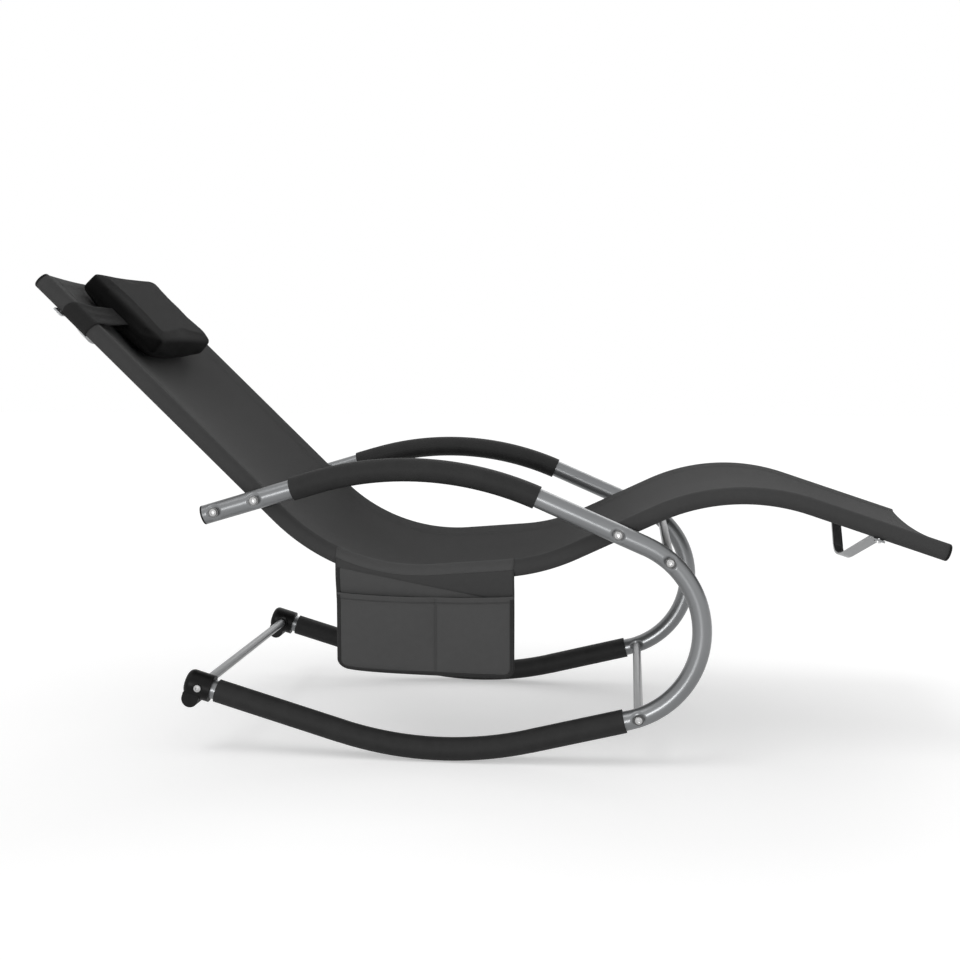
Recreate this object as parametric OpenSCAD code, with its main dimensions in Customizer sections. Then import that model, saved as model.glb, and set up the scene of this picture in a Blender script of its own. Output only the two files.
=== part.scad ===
/* [Side loops] */
// Distance between the centre-lines of the two side loops
loop_spread = 560; // [520:5:620]
// Outer diameter of the loop tube
loop_d = 32; // [30:1:34]
// Wall of the loop tube
loop_wall = 1.3; // [1:0.1:2]
// Bend radius of the rocker, on the tube's centre-line
rocker_r = 608; // [560:4:680]
// Turn of the rocker ahead of the point where it stands
rocker_front_turn = 13.9; // [10:0.1:16]
// Turn of the rocker behind the point where it stands
rocker_rear_turn = 16.5; // [14:0.1:20]
// Straight tube behind the rocker, up to the tube's end in the rear foot
rocker_rear_len = 266; // [250:2:290]
// Straight tube between the rocker and the front bend
front_low_len = 168; // [150:2:190]
// Radius of the front bend
front_r = 153; // [146:1:165]
// Turn of the front bend
front_turn = 142.6; // [140:0.1:145]
// Straight tube between the front bend and the arm
arm_front_len = 190; // [170:2:210]
// Bend radius of the arm
arm_r = 545; // [510:5:600]
// Turn of the arm
arm_turn = 40.2; // [38:0.1:42]
// Straight tube behind the arm
arm_rear_len = 195; // [180:1:215]

/* [Sling rails] */
// Outer diameter of the rail tube
rail_d = 25; // [22:1:26]
// Wall of the rail tube
rail_wall = 1; // [0.8:0.1:2]
// Bend radius of the rail
rail_r = 340; // [320:5:360]
// Slope of the backrest
back_slope = 44.2; // [42:0.1:46]
// Straight rail of the backrest
back_len = 566; // [540:2:600]
// Turn from the backrest to the seat
seat_turn = 48.9; // [47:0.1:50]
// Straight rail under the seat
seat_len = 117; // [100:1:130]
// Turn from the seat up to the thighs
thigh_turn = 20.6; // [19:0.1:22]
// Straight rail under the thighs
thigh_len = 148; // [135:1:165]
// Turn over the knees
knee_turn = 43.7; // [42:0.1:45]
// Straight rail under the lower legs
leg_len = 223; // [200:1:240]

/* [Joints] */
// Backrest joint, measured along the rail from its head end
back_joint_at = 524; // [500:2:540]
// Backrest joint, measured along the arm from its rear end
arm_joint_at = 92; // [80:1:100]
// Cross bar behind the backrest, from the arm's rear end
back_bar_at = 20; // [14:1:30]
// Gap between the arm and the sleeve of the rail at a joint
joint_gap = 4; // [3:0.5:6]
// Outer diameter of the cross bars
bar_d = 16; // [14:1:18]
// Wall of the cross bars
bar_wall = 1.2; // [1:0.1:2]
// Shank diameter of the bolts
bolt_d = 6; // [5:0.5:8]
// Head diameter of the bolts
bolt_head_d = 12; // [10:0.5:13]

/* [Tube sleeves] */
// Outer diameter of the soft sleeves on the arms and rockers
sleeve_d = 39; // [37:1:42]
// Rear edge of the arm sleeve, from the arm's rear end
arm_sleeve_rear = 156; // [150:1:170]
// Length of the arm sleeve
arm_sleeve_len = 418; // [390:2:440]
// Bare tube between the rear foot and the rocker sleeve
rocker_ring = 9; // [6:1:20]
// Bare tube between the rocker sleeve and the bolt of the front cross bar
rocker_sleeve_bare = 24; // [18:1:60]

/* [Sling] */
// Thickness of the sling's fabric
sling_t = 2; // [1:0.1:3]
// Drop of the sling between the rails at the backrest
back_sag = 28; // [20:1:32]
// Drop of the sling between the rails at the seat
seat_sag = 48; // [35:1:55]
// Drop of the sling between the rails at the legs
leg_sag = 20; // [14:1:28]
// Drop of the sling between the rails at its two end edges
end_sag = 8; // [4:1:14]

/* [Head cushion] */
// Length of the cushion along the backrest
cushion_l = 168; // [150:1:180]
// Width of the cushion
cushion_w = 284; // [260:2:300]
// Height of the crown above the cushion's seam
cushion_crown = 27; // [20:1:34]
// Centre of the cushion, from the head end of the rail
cushion_at = 111; // [106:1:116]
// Width of the band that holds the cushion
band_w = 34; // [26:1:36]

/* [Side bag] */
// Width of the bag
bag_w = 300; // [260:5:320]
// Drop of the bag below its fold
bag_h = 154; // [140:2:160]
// Depth of the bag's pockets
bag_depth = 17; // [14:1:22]
// Middle of the bag, from the head end of the rail
bag_at = 841; // [830:1:850]

/* [Braces] */
// Width of the flat strip of the braces
strip_w = 18; // [16:1:20]
// Thickness of the strip
strip_t = 3; // [2:0.5:4]
// Dip of the braces below the rails
brace_dip = 64; // [55:1:70]
// Head brace, from the head end of the rail
head_brace_at = 58; // [52:1:62]
// Foot brace, from the foot end of the rail
foot_brace_at = 108; // [80:1:120]

/* [Hidden] */
$fn = 64;
// Clearance between pieces that sit on each other
fit = 0.3;
// Overrun of the cuts
over = 1;
// Straight runs of a bent piece are a little fuller than its bends and reach into them
run_step = 0.2;
run_lap = 0.5;
$grow = 0;
// Clearance of a bent piece over another bent piece
slack = fit + 2 * run_step;
loop_r = loop_d / 2;
rail_tube_r = rail_d / 2;
bar_r = bar_d / 2;
sleeve_r = sleeve_d / 2;
bolt_r = bolt_d / 2;
bolt_head_r = bolt_head_d / 2;
bolt_head_h = 4;
socket_r = 3;
socket_depth = 2.4;
washer_r = 8.5;
washer_t = 1.6;
// Clearance of a bolt in its hole
bolt_gap = 0.3;
// Fabric sleeve that the sling has round each rail
hem_t = 1.2;
hem_r = rail_tube_r + slack + hem_t;
// Radii of the straight runs, where other pieces sit on them
loop_seat_r = loop_r + run_step;
rail_seat_r = rail_tube_r + run_step;
hem_seat_r = hem_r + run_step;
hem_end_gap = 2;
loop_y = loop_spread / 2;
rail_y = loop_y - loop_r - joint_gap - hem_r;

// Centre-line of a bent tube: [length, 0] is straight, [radius, turn] is a bend
loop_path = [
    [rocker_rear_len, 0],
    [rocker_r, rocker_rear_turn + rocker_front_turn],
    [front_low_len, 0],
    [front_r, front_turn],
    [arm_front_len, 0],
    [arm_r, arm_turn],
    [arm_rear_len, 0]
];
rail_path = [
    [back_len, 0],
    [rail_r, seat_turn],
    [seat_len, 0],
    [rail_r, thigh_turn],
    [thigh_len, 0],
    [rail_r, -knee_turn],
    [leg_len, 0]
];
function arc_len(r, turn) = r * abs(turn) * PI / 180;
function piece_len(p) = p[1] == 0 ? p[0] : arc_len(p[0], p[1]);
function reach(path, i) = i == 0 ? 0 : reach(path, i - 1) + piece_len(path[i - 1]);
function path_len(path) = reach(path, len(path));
// A place on a path is [x, z, heading]
function go(place, piece, s) =
    piece[1] == 0
    ? [place[0] + s * cos(place[2]), place[1] + s * sin(place[2]), place[2]]
    : let (k = sign(piece[1]), h = place[2] + k * s / piece[0] * 180 / PI)
      [place[0] + k * piece[0] * (sin(h) - sin(place[2])),
       place[1] - k * piece[0] * (cos(h) - cos(place[2])), h];
function knot(path, start, i) =
    i == 0 ? start : go(knot(path, start, i - 1), path[i - 1], piece_len(path[i - 1]));
function piece_at(path, s, i = 0) =
    i == len(path) - 1 || s <= reach(path, i + 1) ? i : piece_at(path, s, i + 1);
function at(path, start, s) =
    let (i = piece_at(path, s)) go(knot(path, start, i), path[i], s - reach(path, i));

// The loop starts at its rear end and stands on the floor where its heading is level
function loop_from(stand) = [
    stand - rocker_r * sin(rocker_rear_turn) - rocker_rear_len * cos(rocker_rear_turn),
    sleeve_r + rocker_r * (1 - cos(rocker_rear_turn)) + rocker_rear_len * sin(rocker_rear_turn),
    -rocker_rear_turn
];
// The rail hangs on the backrest joint
function rail_from(joint) = [
    joint[0] - back_joint_at * cos(back_slope),
    joint[1] + back_joint_at * sin(back_slope),
    -back_slope
];
function rim_reach(slope) = cap_t / 2 * cos(slope) + (hem_r - cap_t) * sin(abs(slope)) + cap_t;
cap_t = 3;
loop_len = path_len(loop_path);
rail_len = path_len(rail_path);
arm_joint_s = loop_len - arm_joint_at;
// The middle of the whole length lies over the origin
rail_head = rail_from(at(loop_path, loop_from(0), arm_joint_s));
rail_foot = at(rail_path, rail_head, rail_len);
stand_x = (rim_reach(rail_head[2]) - rail_head[0] - rim_reach(rail_foot[2]) - rail_foot[0]) / 2;
loop_start = loop_from(stand_x);
arm_from = reach(loop_path, 4);
function on_loop(s) = at(loop_path, loop_start, s);

// The two tubes of a loop meet a little before the end of the front bend
seam_before = 20;
seam_at = arm_from - seam_before;
spigot_len = 45;
spigot_wall = 1.5;
spigot_crimp = 4;
knee_bar_before = 46;
knee_bar_at = arm_from - knee_bar_before;
front_bar_past = 16;
front_bar_at = reach(loop_path, 3) + front_bar_past;
back_bar_s = loop_len - back_bar_at;

back_joint = on_loop(arm_joint_s);
rail_start = rail_from(back_joint);
function on_rail(s) = at(rail_path, rail_start, s);

// The seat joint lies where the straight arm crosses the straight rail of the thighs
arm_line = on_loop(arm_from);
thigh_line = on_rail(reach(rail_path, 4));
cross_angle = arm_line[2] - thigh_line[2];
cross_gap = [thigh_line[0] - arm_line[0], thigh_line[1] - arm_line[1]];
arm_cross = (cross_gap[1] * cos(thigh_line[2]) - cross_gap[0] * sin(thigh_line[2])) / sin(cross_angle);
seat_joint = go(arm_line, [arm_front_len, 0], arm_cross);

// Rear feet
foot_wall = 6.5;
foot_r = loop_seat_r + fit + foot_wall;
foot_front = 34;
foot_back = 12;
foot_bolt_at = 14;
foot_boss_r = 12;
foot_round = 10;
foot_boss_len = 6;
foot_lobe_r = 14.5;
foot_lobe_w = 36;
foot_lobe_at = 5;
foot_lobe_down = 23;
foot_lobe_rise = 8;
groove_w = 2;
groove_depth = 1.5;
groove_step = 6;

// Screwed ends of the cross bars and nuts of the rails
insert_len = 20;
rivet_r = 4.5;
rivet_len = 12;
shank_grip = 14;
spacer_r = 11;
plug_t = 3;
plug_len = 15;
plug_gap = 0.2;

// Sling between the rails
web_angle = 50;
web_edge_n = hem_r * sin(web_angle);
web_gap = 0.5;
web_low = web_edge_n - sling_t / 2;
web_half = rail_y - sqrt(pow(hem_seat_r + web_gap, 2) - web_low * web_low);
web_columns = 10;
bend_step = 24;
line_step = 58;
web_end = 6;
// Stretch at either end over which the sling deepens
end_run = 200;
sag_start_share = 0.86;
seat_mid = reach(rail_path, 2) + seat_len / 2;
knee_from = reach(rail_path, 5);
function ease(a, b, share) = a + (b - a) * (1 - cos(180 * min(1, max(0, share)))) / 2;
function full_sag(s) =
    s < seat_mid
    ? ease(back_sag, seat_sag, (s - back_len * sag_start_share) / (seat_mid - back_len * sag_start_share))
    : ease(seat_sag, leg_sag, (s - seat_mid) / (knee_from - seat_mid));
function sag(s) =
    end_sag + (full_sag(s) - end_sag) * sin(90 * min(1, min(s, rail_len - s) / end_run));
function web_n(s, y) = web_edge_n - sag(s) * (1 - pow(y / web_half, 2));

// Head cushion
seam_height = 26;
cushion_gap = 1;
cover_t = 4;
pull_share = 0.03;
cushion_rows = 8;
cushion_columns = 10;
filling_rows = 6;
filling_columns = 7;
band_t = 1.2;
band_gap = 0.4;
band_back_gap = 1;
band_back_n = web_edge_n - back_sag - sling_t / 2 - band_back_gap - band_t / 2;
band_flat_share = 0.45;
band_ahead = 16;
band_at = cushion_at - band_ahead;

// Side bag
bag_t = 1.2;
header_gap = 0.2;
header_r = hem_seat_r + run_step + header_gap + bag_t;
header_drop = 20;
header_margin = 12;
header_len = bag_w + 2 * header_margin;
header_inner = 4;
skirt_angle = 35;
skirt_r = header_r - bag_t / 2;
// Radius of the seam rolled along the fold
fold_r = 0.75;
fold_gap = fold_r + fit;
bag_mid = on_rail(bag_at);
bag_fold_z = bag_mid[1] - header_drop;
bag_fold_y = rail_y + skirt_r * cos(skirt_angle);
mouth_drop = 15;
bag_corner = 17;
bag_back_in = 7.5;
bag_split_share = 0.56;
tape_t = 0.8;
tape_w = 7;

// Braces
brace_bend_r = 26;
// Radius of the strip's rounded bottom
brace_low_r = 170;
tab_in = 22;
brace_half = rail_y - tab_in;
brace_bends = brace_bend_r + brace_low_r;
brace_leg_turn =
    atan2(brace_half, brace_bends - brace_dip) - acos(brace_bends / norm([brace_half, brace_bends - brace_dip]));
brace_leg_len = (brace_half - brace_bends * sin(brace_leg_turn)) / cos(brace_leg_turn);
tab_stub = 8;
brace_path = [
    [tab_stub, 0],
    [brace_bend_r, -brace_leg_turn],
    [brace_leg_len, 0],
    [brace_low_r, 2 * brace_leg_turn],
    [brace_leg_len, 0],
    [brace_bend_r, -brace_leg_turn],
    [tab_stub, 0]
];

steel = [0.56, 0.58, 0.60];
zinc = [0.80, 0.81, 0.82];
black = [0.07, 0.07, 0.07];
charcoal = [0.26, 0.26, 0.26];
dark = [0.17, 0.17, 0.17];

module set_at(place) translate([place[0], 0, place[1]]) rotate([0, -place[2], 0]) children();
module on_side(side, y) translate([0, side * y, 0]) children();
// Carries a flat profile along a path; its first axis stays along Y
module along(path, start, from, to) {
    for (i = [0 : len(path) - 1]) {
        a = max(from, reach(path, i));
        b = min(to, reach(path, i + 1));
        if (b > a) {
            lap_a = a > from ? run_lap : 0;
            lap_b = b < to ? run_lap : 0;
            set_at(go(knot(path, start, i), path[i], a - reach(path, i))) {
                if (path[i][1] == 0) {
                    translate([-lap_a, 0, 0]) rotate([90, 0, 90]) linear_extrude(b - a + lap_a + lap_b)
                        grown(run_step) children();
                } else if (path[i][1] > 0) {
                    translate([0, 0, path[i][0]]) rotate([90, 90, 0])
                        rotate_extrude(angle = (b - a) / path[i][0] * 180 / PI)
                        translate([path[i][0], 0]) mirror([1, 0]) rotate(-90) children();
                } else {
                    translate([0, 0, -path[i][0]]) rotate([-90, -90, 0])
                        rotate_extrude(angle = (b - a) / path[i][0] * 180 / PI)
                        translate([path[i][0], 0]) mirror([1, 0]) rotate(90) children();
                }
            }
        }
    }
}
module grown(step) {
    $grow = step;
    children();
}
module ring(r, wall) difference() {
    circle(r + $grow);
    circle(r - wall - $grow);
}
module on_both_sides() {
    for (side = [-1, 1]) scale_side(side) children();
}
module scale_side(side) {
    if (side < 0) children();
    else mirror([0, 1, 0]) children();
}
// A hole along Y through a tube on the right side, from its outer to its inner face
module cross_hole(y, r, reach_y) translate([0, -y - reach_y, 0]) rotate([-90, 0, 0]) cylinder(r = r, h = 2 * reach_y);

module side_rail() difference() {
    on_side(-1, rail_y) along(rail_path, rail_start, 0, rail_len) ring(rail_tube_r, rail_wall);
    for (joint = [back_joint, seat_joint]) set_at(joint)
        translate([0, -rail_y, 0]) rotate([90, 0, 0]) cylinder(r = rivet_r + bolt_gap, h = rail_d);
    for (place = brace_places) set_at(place)
        translate([0, -rail_y, -rail_d]) cylinder(r = rivet_r + bolt_gap, h = rail_d);
}
brace_places = [on_rail(head_brace_at), on_rail(rail_len - foot_brace_at)];
module right_side_rail() color(steel) side_rail();
module left_side_rail() color(steel) mirror([0, 1, 0]) side_rail();

module rail_cap() {
    translate([0, 0, -plug_len]) cylinder(r = rail_tube_r - rail_wall - run_step - plug_gap, h = plug_len);
    rotate_extrude() {
        square([rail_tube_r - cap_t, cap_t]);
        square([hem_r, cap_t / 2]);
        intersection() {
            translate([hem_r - cap_t, cap_t / 2]) circle(cap_t);
            translate([0, cap_t / 2]) square([hem_r, cap_t]);
        }
        square([hem_r - cap_t, cap_t * 3 / 2]);
    }
}
module rail_end_plugs() color(black) on_both_sides() {
    set_at(rail_start) translate([0, -rail_y, 0]) rotate([0, -90, 0]) rail_cap();
    set_at(on_rail(rail_len)) translate([0, -rail_y, 0]) rotate([0, 90, 0]) rail_cap();
}

module loop_holes(places) for (s = places) set_at(on_loop(s)) cross_hole(loop_y, bolt_r + bolt_gap, loop_d);
module rocker_tube() difference() {
    on_side(-1, loop_y) along(loop_path, loop_start, 0, seam_at) ring(loop_r, loop_wall);
    loop_holes([foot_bolt_at, front_bar_at, knee_bar_at]);
}
module right_rocker_tube() color(steel) rocker_tube();
module left_rocker_tube() color(steel) mirror([0, 1, 0]) rocker_tube();

module arm_tube() difference() {
    on_side(-1, loop_y) {
        along(loop_path, loop_start, seam_at, loop_len) ring(loop_r, loop_wall);
        along(loop_path, loop_start, seam_at - spigot_len, seam_at + spigot_crimp)
            ring(loop_r - loop_wall - slack, spigot_wall);
        along(loop_path, loop_start, seam_at + fit, seam_at + spigot_crimp - fit)
            ring(loop_r - loop_wall / 2, loop_wall / 2 + slack + spigot_wall / 2);
    }
    loop_holes([knee_bar_at, arm_joint_s, back_bar_s]);
    set_at(seat_joint) cross_hole(loop_y, bolt_r + bolt_gap, loop_d);
}
module right_arm_tube() color(steel) arm_tube();
module left_arm_tube() color(steel) mirror([0, 1, 0]) arm_tube();

module arm_sleeve() on_side(-1, loop_y)
    along(loop_path, loop_start, loop_len - arm_sleeve_rear - arm_sleeve_len, loop_len - arm_sleeve_rear)
    ring(sleeve_r, sleeve_r - loop_r - slack);
module right_arm_sleeve() color(dark) arm_sleeve();
module left_arm_sleeve() color(dark) mirror([0, 1, 0]) arm_sleeve();

rocker_sleeve_from = foot_front + rocker_ring;
module rocker_sleeve() on_side(-1, loop_y)
    along(loop_path, loop_start, rocker_sleeve_from, front_bar_at - rocker_sleeve_bare)
    ring(sleeve_r, sleeve_r - loop_r - slack);
module right_rocker_sleeve() color(dark) rocker_sleeve();
module left_rocker_sleeve() color(dark) mirror([0, 1, 0]) rocker_sleeve();

module arm_end_plugs() color(black) on_both_sides()
    set_at(on_loop(loop_len)) translate([0, -loop_y, 0]) rotate([0, 90, 0]) {
        cylinder(r = loop_seat_r, h = plug_t);
        translate([0, 0, -plug_len]) difference() {
            cylinder(r = loop_r - loop_wall - run_step - plug_gap, h = plug_len);
            translate([0, 0, -over]) cylinder(r = loop_r - loop_wall - plug_t, h = plug_len);
        }
    }

// The foot is a socket on the rocker's rear end, with a ribbed heel that stops the chair from tipping
module rear_foot() {
    end = on_loop(0);
    translate([0, -loop_y, 0]) set_at(end) difference() {
        union() {
            translate([-foot_back, 0, 0]) rotate([0, 90, 0]) rotate_extrude() foot_outline();
            translate([foot_bolt_at, 0, 0]) rotate([-90, 0, 0])
                cylinder(r = foot_boss_r, h = foot_r + foot_boss_len);
            heel();
        }
        translate([-fit, 0, 0]) rotate([0, 90, 0]) cylinder(r = loop_seat_r + fit, h = foot_front + over);
        translate([foot_bolt_at, -2 * foot_r, 0]) rotate([-90, 0, 0])
            cylinder(r = bolt_r + bolt_gap, h = 4 * foot_r);
        translate([foot_bolt_at, -2 * foot_r, 0]) rotate([-90, 0, 0])
            cylinder(r = washer_r + bolt_gap, h = foot_r + washer_t);
    }
}
module foot_outline() {
    translate([0, foot_round]) square([foot_r, foot_back + foot_front - foot_round]);
    square([foot_r - foot_round, foot_back + foot_front]);
    intersection() {
        translate([foot_r - foot_round, foot_round]) circle(foot_round);
        square([foot_r, foot_r]);
    }
}
module heel() translate([foot_lobe_at, 0, -foot_lobe_down]) difference() {
    union() {
        rotate([90, 0, 0]) cylinder(r = foot_lobe_r, h = foot_lobe_w, center = true);
        translate([-foot_lobe_r, -foot_lobe_w / 2, 0]) cube([2 * foot_lobe_r, foot_lobe_w, foot_lobe_rise]);
    }
    for (k = [-2 : 2]) translate([0, k * groove_step, 0]) rotate([90, 0, 0]) difference() {
        cylinder(r = foot_lobe_r + over, h = groove_w, center = true);
        cylinder(r = foot_lobe_r - groove_depth, h = groove_w + over, center = true);
        translate([-2 * foot_lobe_r, 0, -groove_w]) cube([4 * foot_lobe_r, 2 * foot_lobe_r, 2 * groove_w]);
    }
}
module right_rear_foot() color(black) rear_foot();
module left_rear_foot() color(black) mirror([0, 1, 0]) rear_foot();

// A cross bar is a tube whose ends are shaped to the side tubes
module cross_bar(place, half) set_at(place) rotate([90, 0, 0]) difference() {
    cylinder(r = bar_r, h = 2 * half, center = true);
    cylinder(r = bar_r - bar_wall, h = 2 * half + over, center = true);
}
module fitted_bar(place) difference() {
    cross_bar(place, loop_y - loop_seat_r + bar_r / 2);
    for (side = [-1, 1]) set_at(place) translate([-bar_d, side * loop_y, 0]) rotate([0, 90, 0])
        cylinder(r = loop_seat_r + fit, h = 2 * bar_d);
}
foot_bar_half = loop_y - foot_r - foot_boss_len - fit;
module rear_rocker_bar() color(steel) cross_bar(on_loop(foot_bolt_at), foot_bar_half);
module front_rocker_bar() color(steel) fitted_bar(on_loop(front_bar_at));
module knee_bar() color(steel) fitted_bar(on_loop(knee_bar_at));
module back_bar() color(steel) fitted_bar(on_loop(back_bar_s));

module insert(place, half) set_at(place) translate([0, -half, 0]) rotate([-90, 0, 0]) difference() {
    cylinder(r = bar_r - bar_wall - plug_gap, h = insert_len);
    translate([0, 0, -over]) cylinder(r = bolt_r + plug_gap, h = insert_len - bar_wall + over);
}
loop_bar_half = loop_y - loop_seat_r - fit;
module bar_inserts() color(zinc) on_both_sides() {
    for (s = [front_bar_at, knee_bar_at, back_bar_s]) insert(on_loop(s), loop_bar_half - fit);
    insert(on_loop(foot_bolt_at), foot_bar_half);
}

// A brace is a flat strip that hangs down between the rails, square to them
module brace(place) {
    tab_z = -hem_seat_r - fit - strip_t / 2;
    set_at(place) translate([0, 0, tab_z]) {
        for (side = [-1, 1]) difference() {
            translate([-strip_w / 2, side * rail_y - (side < 0 ? rail_tube_r : tab_in), -strip_t / 2])
                cube([strip_w, rail_tube_r + tab_in, strip_t]);
            translate([0, side * rail_y, -strip_t]) cylinder(r = bolt_r + bolt_gap, h = 2 * strip_t);
        }
        rotate([0, 0, 90]) along(brace_path, [-brace_half - tab_stub, 0, 0], 0, path_len(brace_path))
            square([strip_w + 2 * $grow, strip_t + 2 * $grow], center = true);
    }
}
module head_brace() color(steel) brace(brace_places[0]);
module foot_brace() color(steel) brace(brace_places[1]);

// A button-head bolt that points up, with the underside of its head at the origin
module bolt(shank) {
    difference() {
        intersection() {
            translate([0, 0, -bolt_head_h]) cylinder(r = bolt_head_r, h = bolt_head_h);
            translate([0, 0, bolt_head_r * 2 - bolt_head_h]) sphere(r = bolt_head_r * 2);
        }
        translate([0, 0, -bolt_head_h - over]) cylinder(r = socket_r, h = socket_depth + over, $fn = 6);
    }
    cylinder(r = bolt_r, h = shank);
}
// A washer that fits the round of a tube; its outer face is at the origin
module saddle_washer() rotate([-90, 0, 0]) difference() {
    cylinder(r = washer_r, h = washer_t + loop_r / 4);
    translate([0, 0, -over]) cylinder(r = bolt_r + bolt_gap, h = loop_r);
    translate([-loop_r, 0, washer_t + loop_seat_r]) rotate([0, 90, 0]) cylinder(r = loop_seat_r + fit / 2, h = loop_d);
}
head_y = loop_y + loop_seat_r + washer_t;
loop_bolt_places = [on_loop(front_bar_at), on_loop(knee_bar_at), on_loop(back_bar_s)];
module side_bolt(place, y, shank) set_at(place) translate([0, -y, 0]) rotate([-90, 0, 0]) bolt(shank);
module cross_bar_bolts() color(zinc) on_both_sides()
    for (place = loop_bolt_places) side_bolt(place, head_y, head_y - loop_bar_half + shank_grip);
module rear_foot_bolts() color(zinc) on_both_sides()
    side_bolt(on_loop(foot_bolt_at), loop_y + foot_r - washer_t, 2 * foot_r + foot_boss_len + shank_grip);
joint_shank = head_y - rail_y - rail_seat_r + rivet_len;
module back_joint_bolts() color(zinc) on_both_sides() side_bolt(back_joint, head_y, joint_shank);
module seat_joint_bolts() color(zinc) on_both_sides() side_bolt(seat_joint, head_y, joint_shank);
module saddle_washers() color(zinc) on_both_sides()
    for (place = concat(loop_bolt_places, [back_joint, seat_joint]))
        set_at(place) translate([0, -head_y, 0]) saddle_washer();
module brace_bolts() color(zinc) on_both_sides()
    for (place = brace_places) set_at(place)
        translate([0, -rail_y, -hem_seat_r - fit - strip_t])
            bolt(strip_t + fit + hem_seat_r - rail_seat_r + rivet_len);

// Nuts that are pressed into the rails, no higher than the round of the tube beside them
nut_seat = sqrt(rail_tube_r * rail_tube_r - rivet_r * rivet_r);
module rail_nut() difference() {
    cylinder(r = rivet_r, h = rivet_len);
    translate([0, 0, -over]) cylinder(r = bolt_r + plug_gap, h = rivet_len + 2 * over);
}
module rail_nuts() color(zinc) on_both_sides() {
    for (joint = [back_joint, seat_joint]) set_at(joint)
        translate([0, -rail_y - nut_seat, 0]) rotate([-90, 0, 0]) rail_nut();
    for (place = brace_places) set_at(place) translate([0, -rail_y, -nut_seat]) rail_nut();
}
// A spacer fills the gap between the arm and the rail at a joint
module joint_spacers() color(black) on_both_sides() for (joint = [back_joint, seat_joint]) {
    heading = joint == back_joint ? -back_slope : thigh_line[2];
    difference() {
        set_at(joint) cross_hole(rail_y + rail_tube_r, spacer_r, (loop_y - rail_y) / 2);
        set_at(joint) cross_hole(rail_y, bolt_r + bolt_gap, 2 * loop_r + rail_d);
        set_at(joint) translate([-rail_d, -loop_y, 0]) rotate([0, 90, 0])
            cylinder(r = loop_seat_r + fit / 2, h = 2 * rail_d);
        set_at([joint[0], joint[1], heading]) translate([-rail_d, -rail_y, 0]) rotate([0, 90, 0])
            cylinder(r = rail_seat_r + fit / 2, h = 2 * rail_d);
    }
}

// The sling's side hems are sleeves on the rails, open at the joints
module sling_hem() difference() {
    on_side(-1, rail_y) along(rail_path, rail_start, hem_end_gap, rail_len - hem_end_gap) ring(hem_r, hem_t);
    for (joint = [back_joint, seat_joint]) set_at(joint)
        translate([0, -rail_y, 0]) rotate([90, 0, 0]) cylinder(r = spacer_r + fit, h = rail_d);
    for (place = brace_places) set_at(place)
        translate([0, -rail_y, -rail_d]) cylinder(r = bolt_r + bolt_gap, h = rail_d);
}
module right_sling_hem() color(charcoal) sling_hem();
module left_sling_hem() color(charcoal) mirror([0, 1, 0]) sling_hem();

function steps(path, i) = ceil(piece_len(path[i]) / (path[i][1] == 0 ? line_step : bend_step));
web_rows = concat(
    [for (i = [0 : len(rail_path) - 1]) for (k = [0 : steps(rail_path, i) - 1])
        max(web_end, reach(rail_path, i) + piece_len(rail_path[i]) * k / steps(rail_path, i))],
    [rail_len - web_end]);
function sheet_point(s, y, n) =
    let (p = on_rail(s)) [p[0] - n * sin(p[2]), y, p[1] + n * cos(p[2])];
// A closed skin over two grids of points, each with rows of the given number of columns
module skin(top, bottom, rows, columns) {
    n = rows * columns;
    faces = concat(
        [for (i = [0 : rows - 2]) for (j = [0 : columns - 2]) let (a = i * columns + j)
            each [[a, a + 1, a + columns + 1], [a, a + columns + 1, a + columns]]],
        [for (i = [0 : rows - 2]) for (j = [0 : columns - 2]) let (a = n + i * columns + j)
            each [[a, a + columns + 1, a + 1], [a, a + columns, a + columns + 1]]],
        [for (i = [0 : rows - 2]) let (a = i * columns, b = a + columns - 1)
            each [[a, a + columns, n + a + columns], [a, n + a + columns, n + a],
                  [b, n + b + columns, b + columns], [b, n + b, n + b + columns]]],
        [for (j = [0 : columns - 2]) let (a = j, b = (rows - 1) * columns + j)
            each [[a, n + a + 1, a + 1], [a, n + a, n + a + 1],
                  [b, b + 1, n + b + 1], [b, n + b + 1, n + b]]]);
    polyhedron(points = concat(top, bottom), faces = faces);
}
web_ys = [for (j = [0 : web_columns]) web_half * (2 * j / web_columns - 1)];
function web_points(lift) = [for (s = web_rows) for (y = web_ys) sheet_point(s, y, web_n(s, y) + lift)];
module sling_panel() color(charcoal)
    skin(web_points(sling_t / 2), web_points(-sling_t / 2), len(web_rows), len(web_ys));

// The cushion is crowned, and its sides pull in between the corners
function spread(n) = [for (k = [-n : n]) sin(90 * k / n)];
function swell(u, v) = pow(max(0, 1 - pow(u, 6)), 1 / 3) * pow(max(0, 1 - pow(v, 6)), 1 / 3);
function cushion_point(u, v, top, wall) =
    let (x = (cushion_l / 2 - wall) * u * (1 - pull_share * (1 - v * v)),
         y = (cushion_w / 2 - wall) * v * (1 - pull_share * (1 - u * u)),
         low = web_n(cushion_at + x, y) + sling_t / 2 + cushion_gap,
         rise = top ? cushion_crown - wall : low - seam_height + wall)
    sheet_point(cushion_at + x, y, seam_height + rise * swell(u, v) + (top ? fit : 0));
function cushion_points(us, vs, top, wall) = [for (u = us) for (v = vs) cushion_point(u, v, top, wall)];
module pillow(rows, columns, wall) {
    us = spread(rows);
    vs = spread(columns);
    skin(cushion_points(us, vs, true, wall), cushion_points(us, vs, false, wall), len(us), len(vs));
}
// A padded cover round the space of its light filling
module head_cushion() color(dark) difference() {
    pillow(cushion_rows, cushion_columns, 0);
    pillow(filling_rows, filling_columns, cover_t);
}

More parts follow.
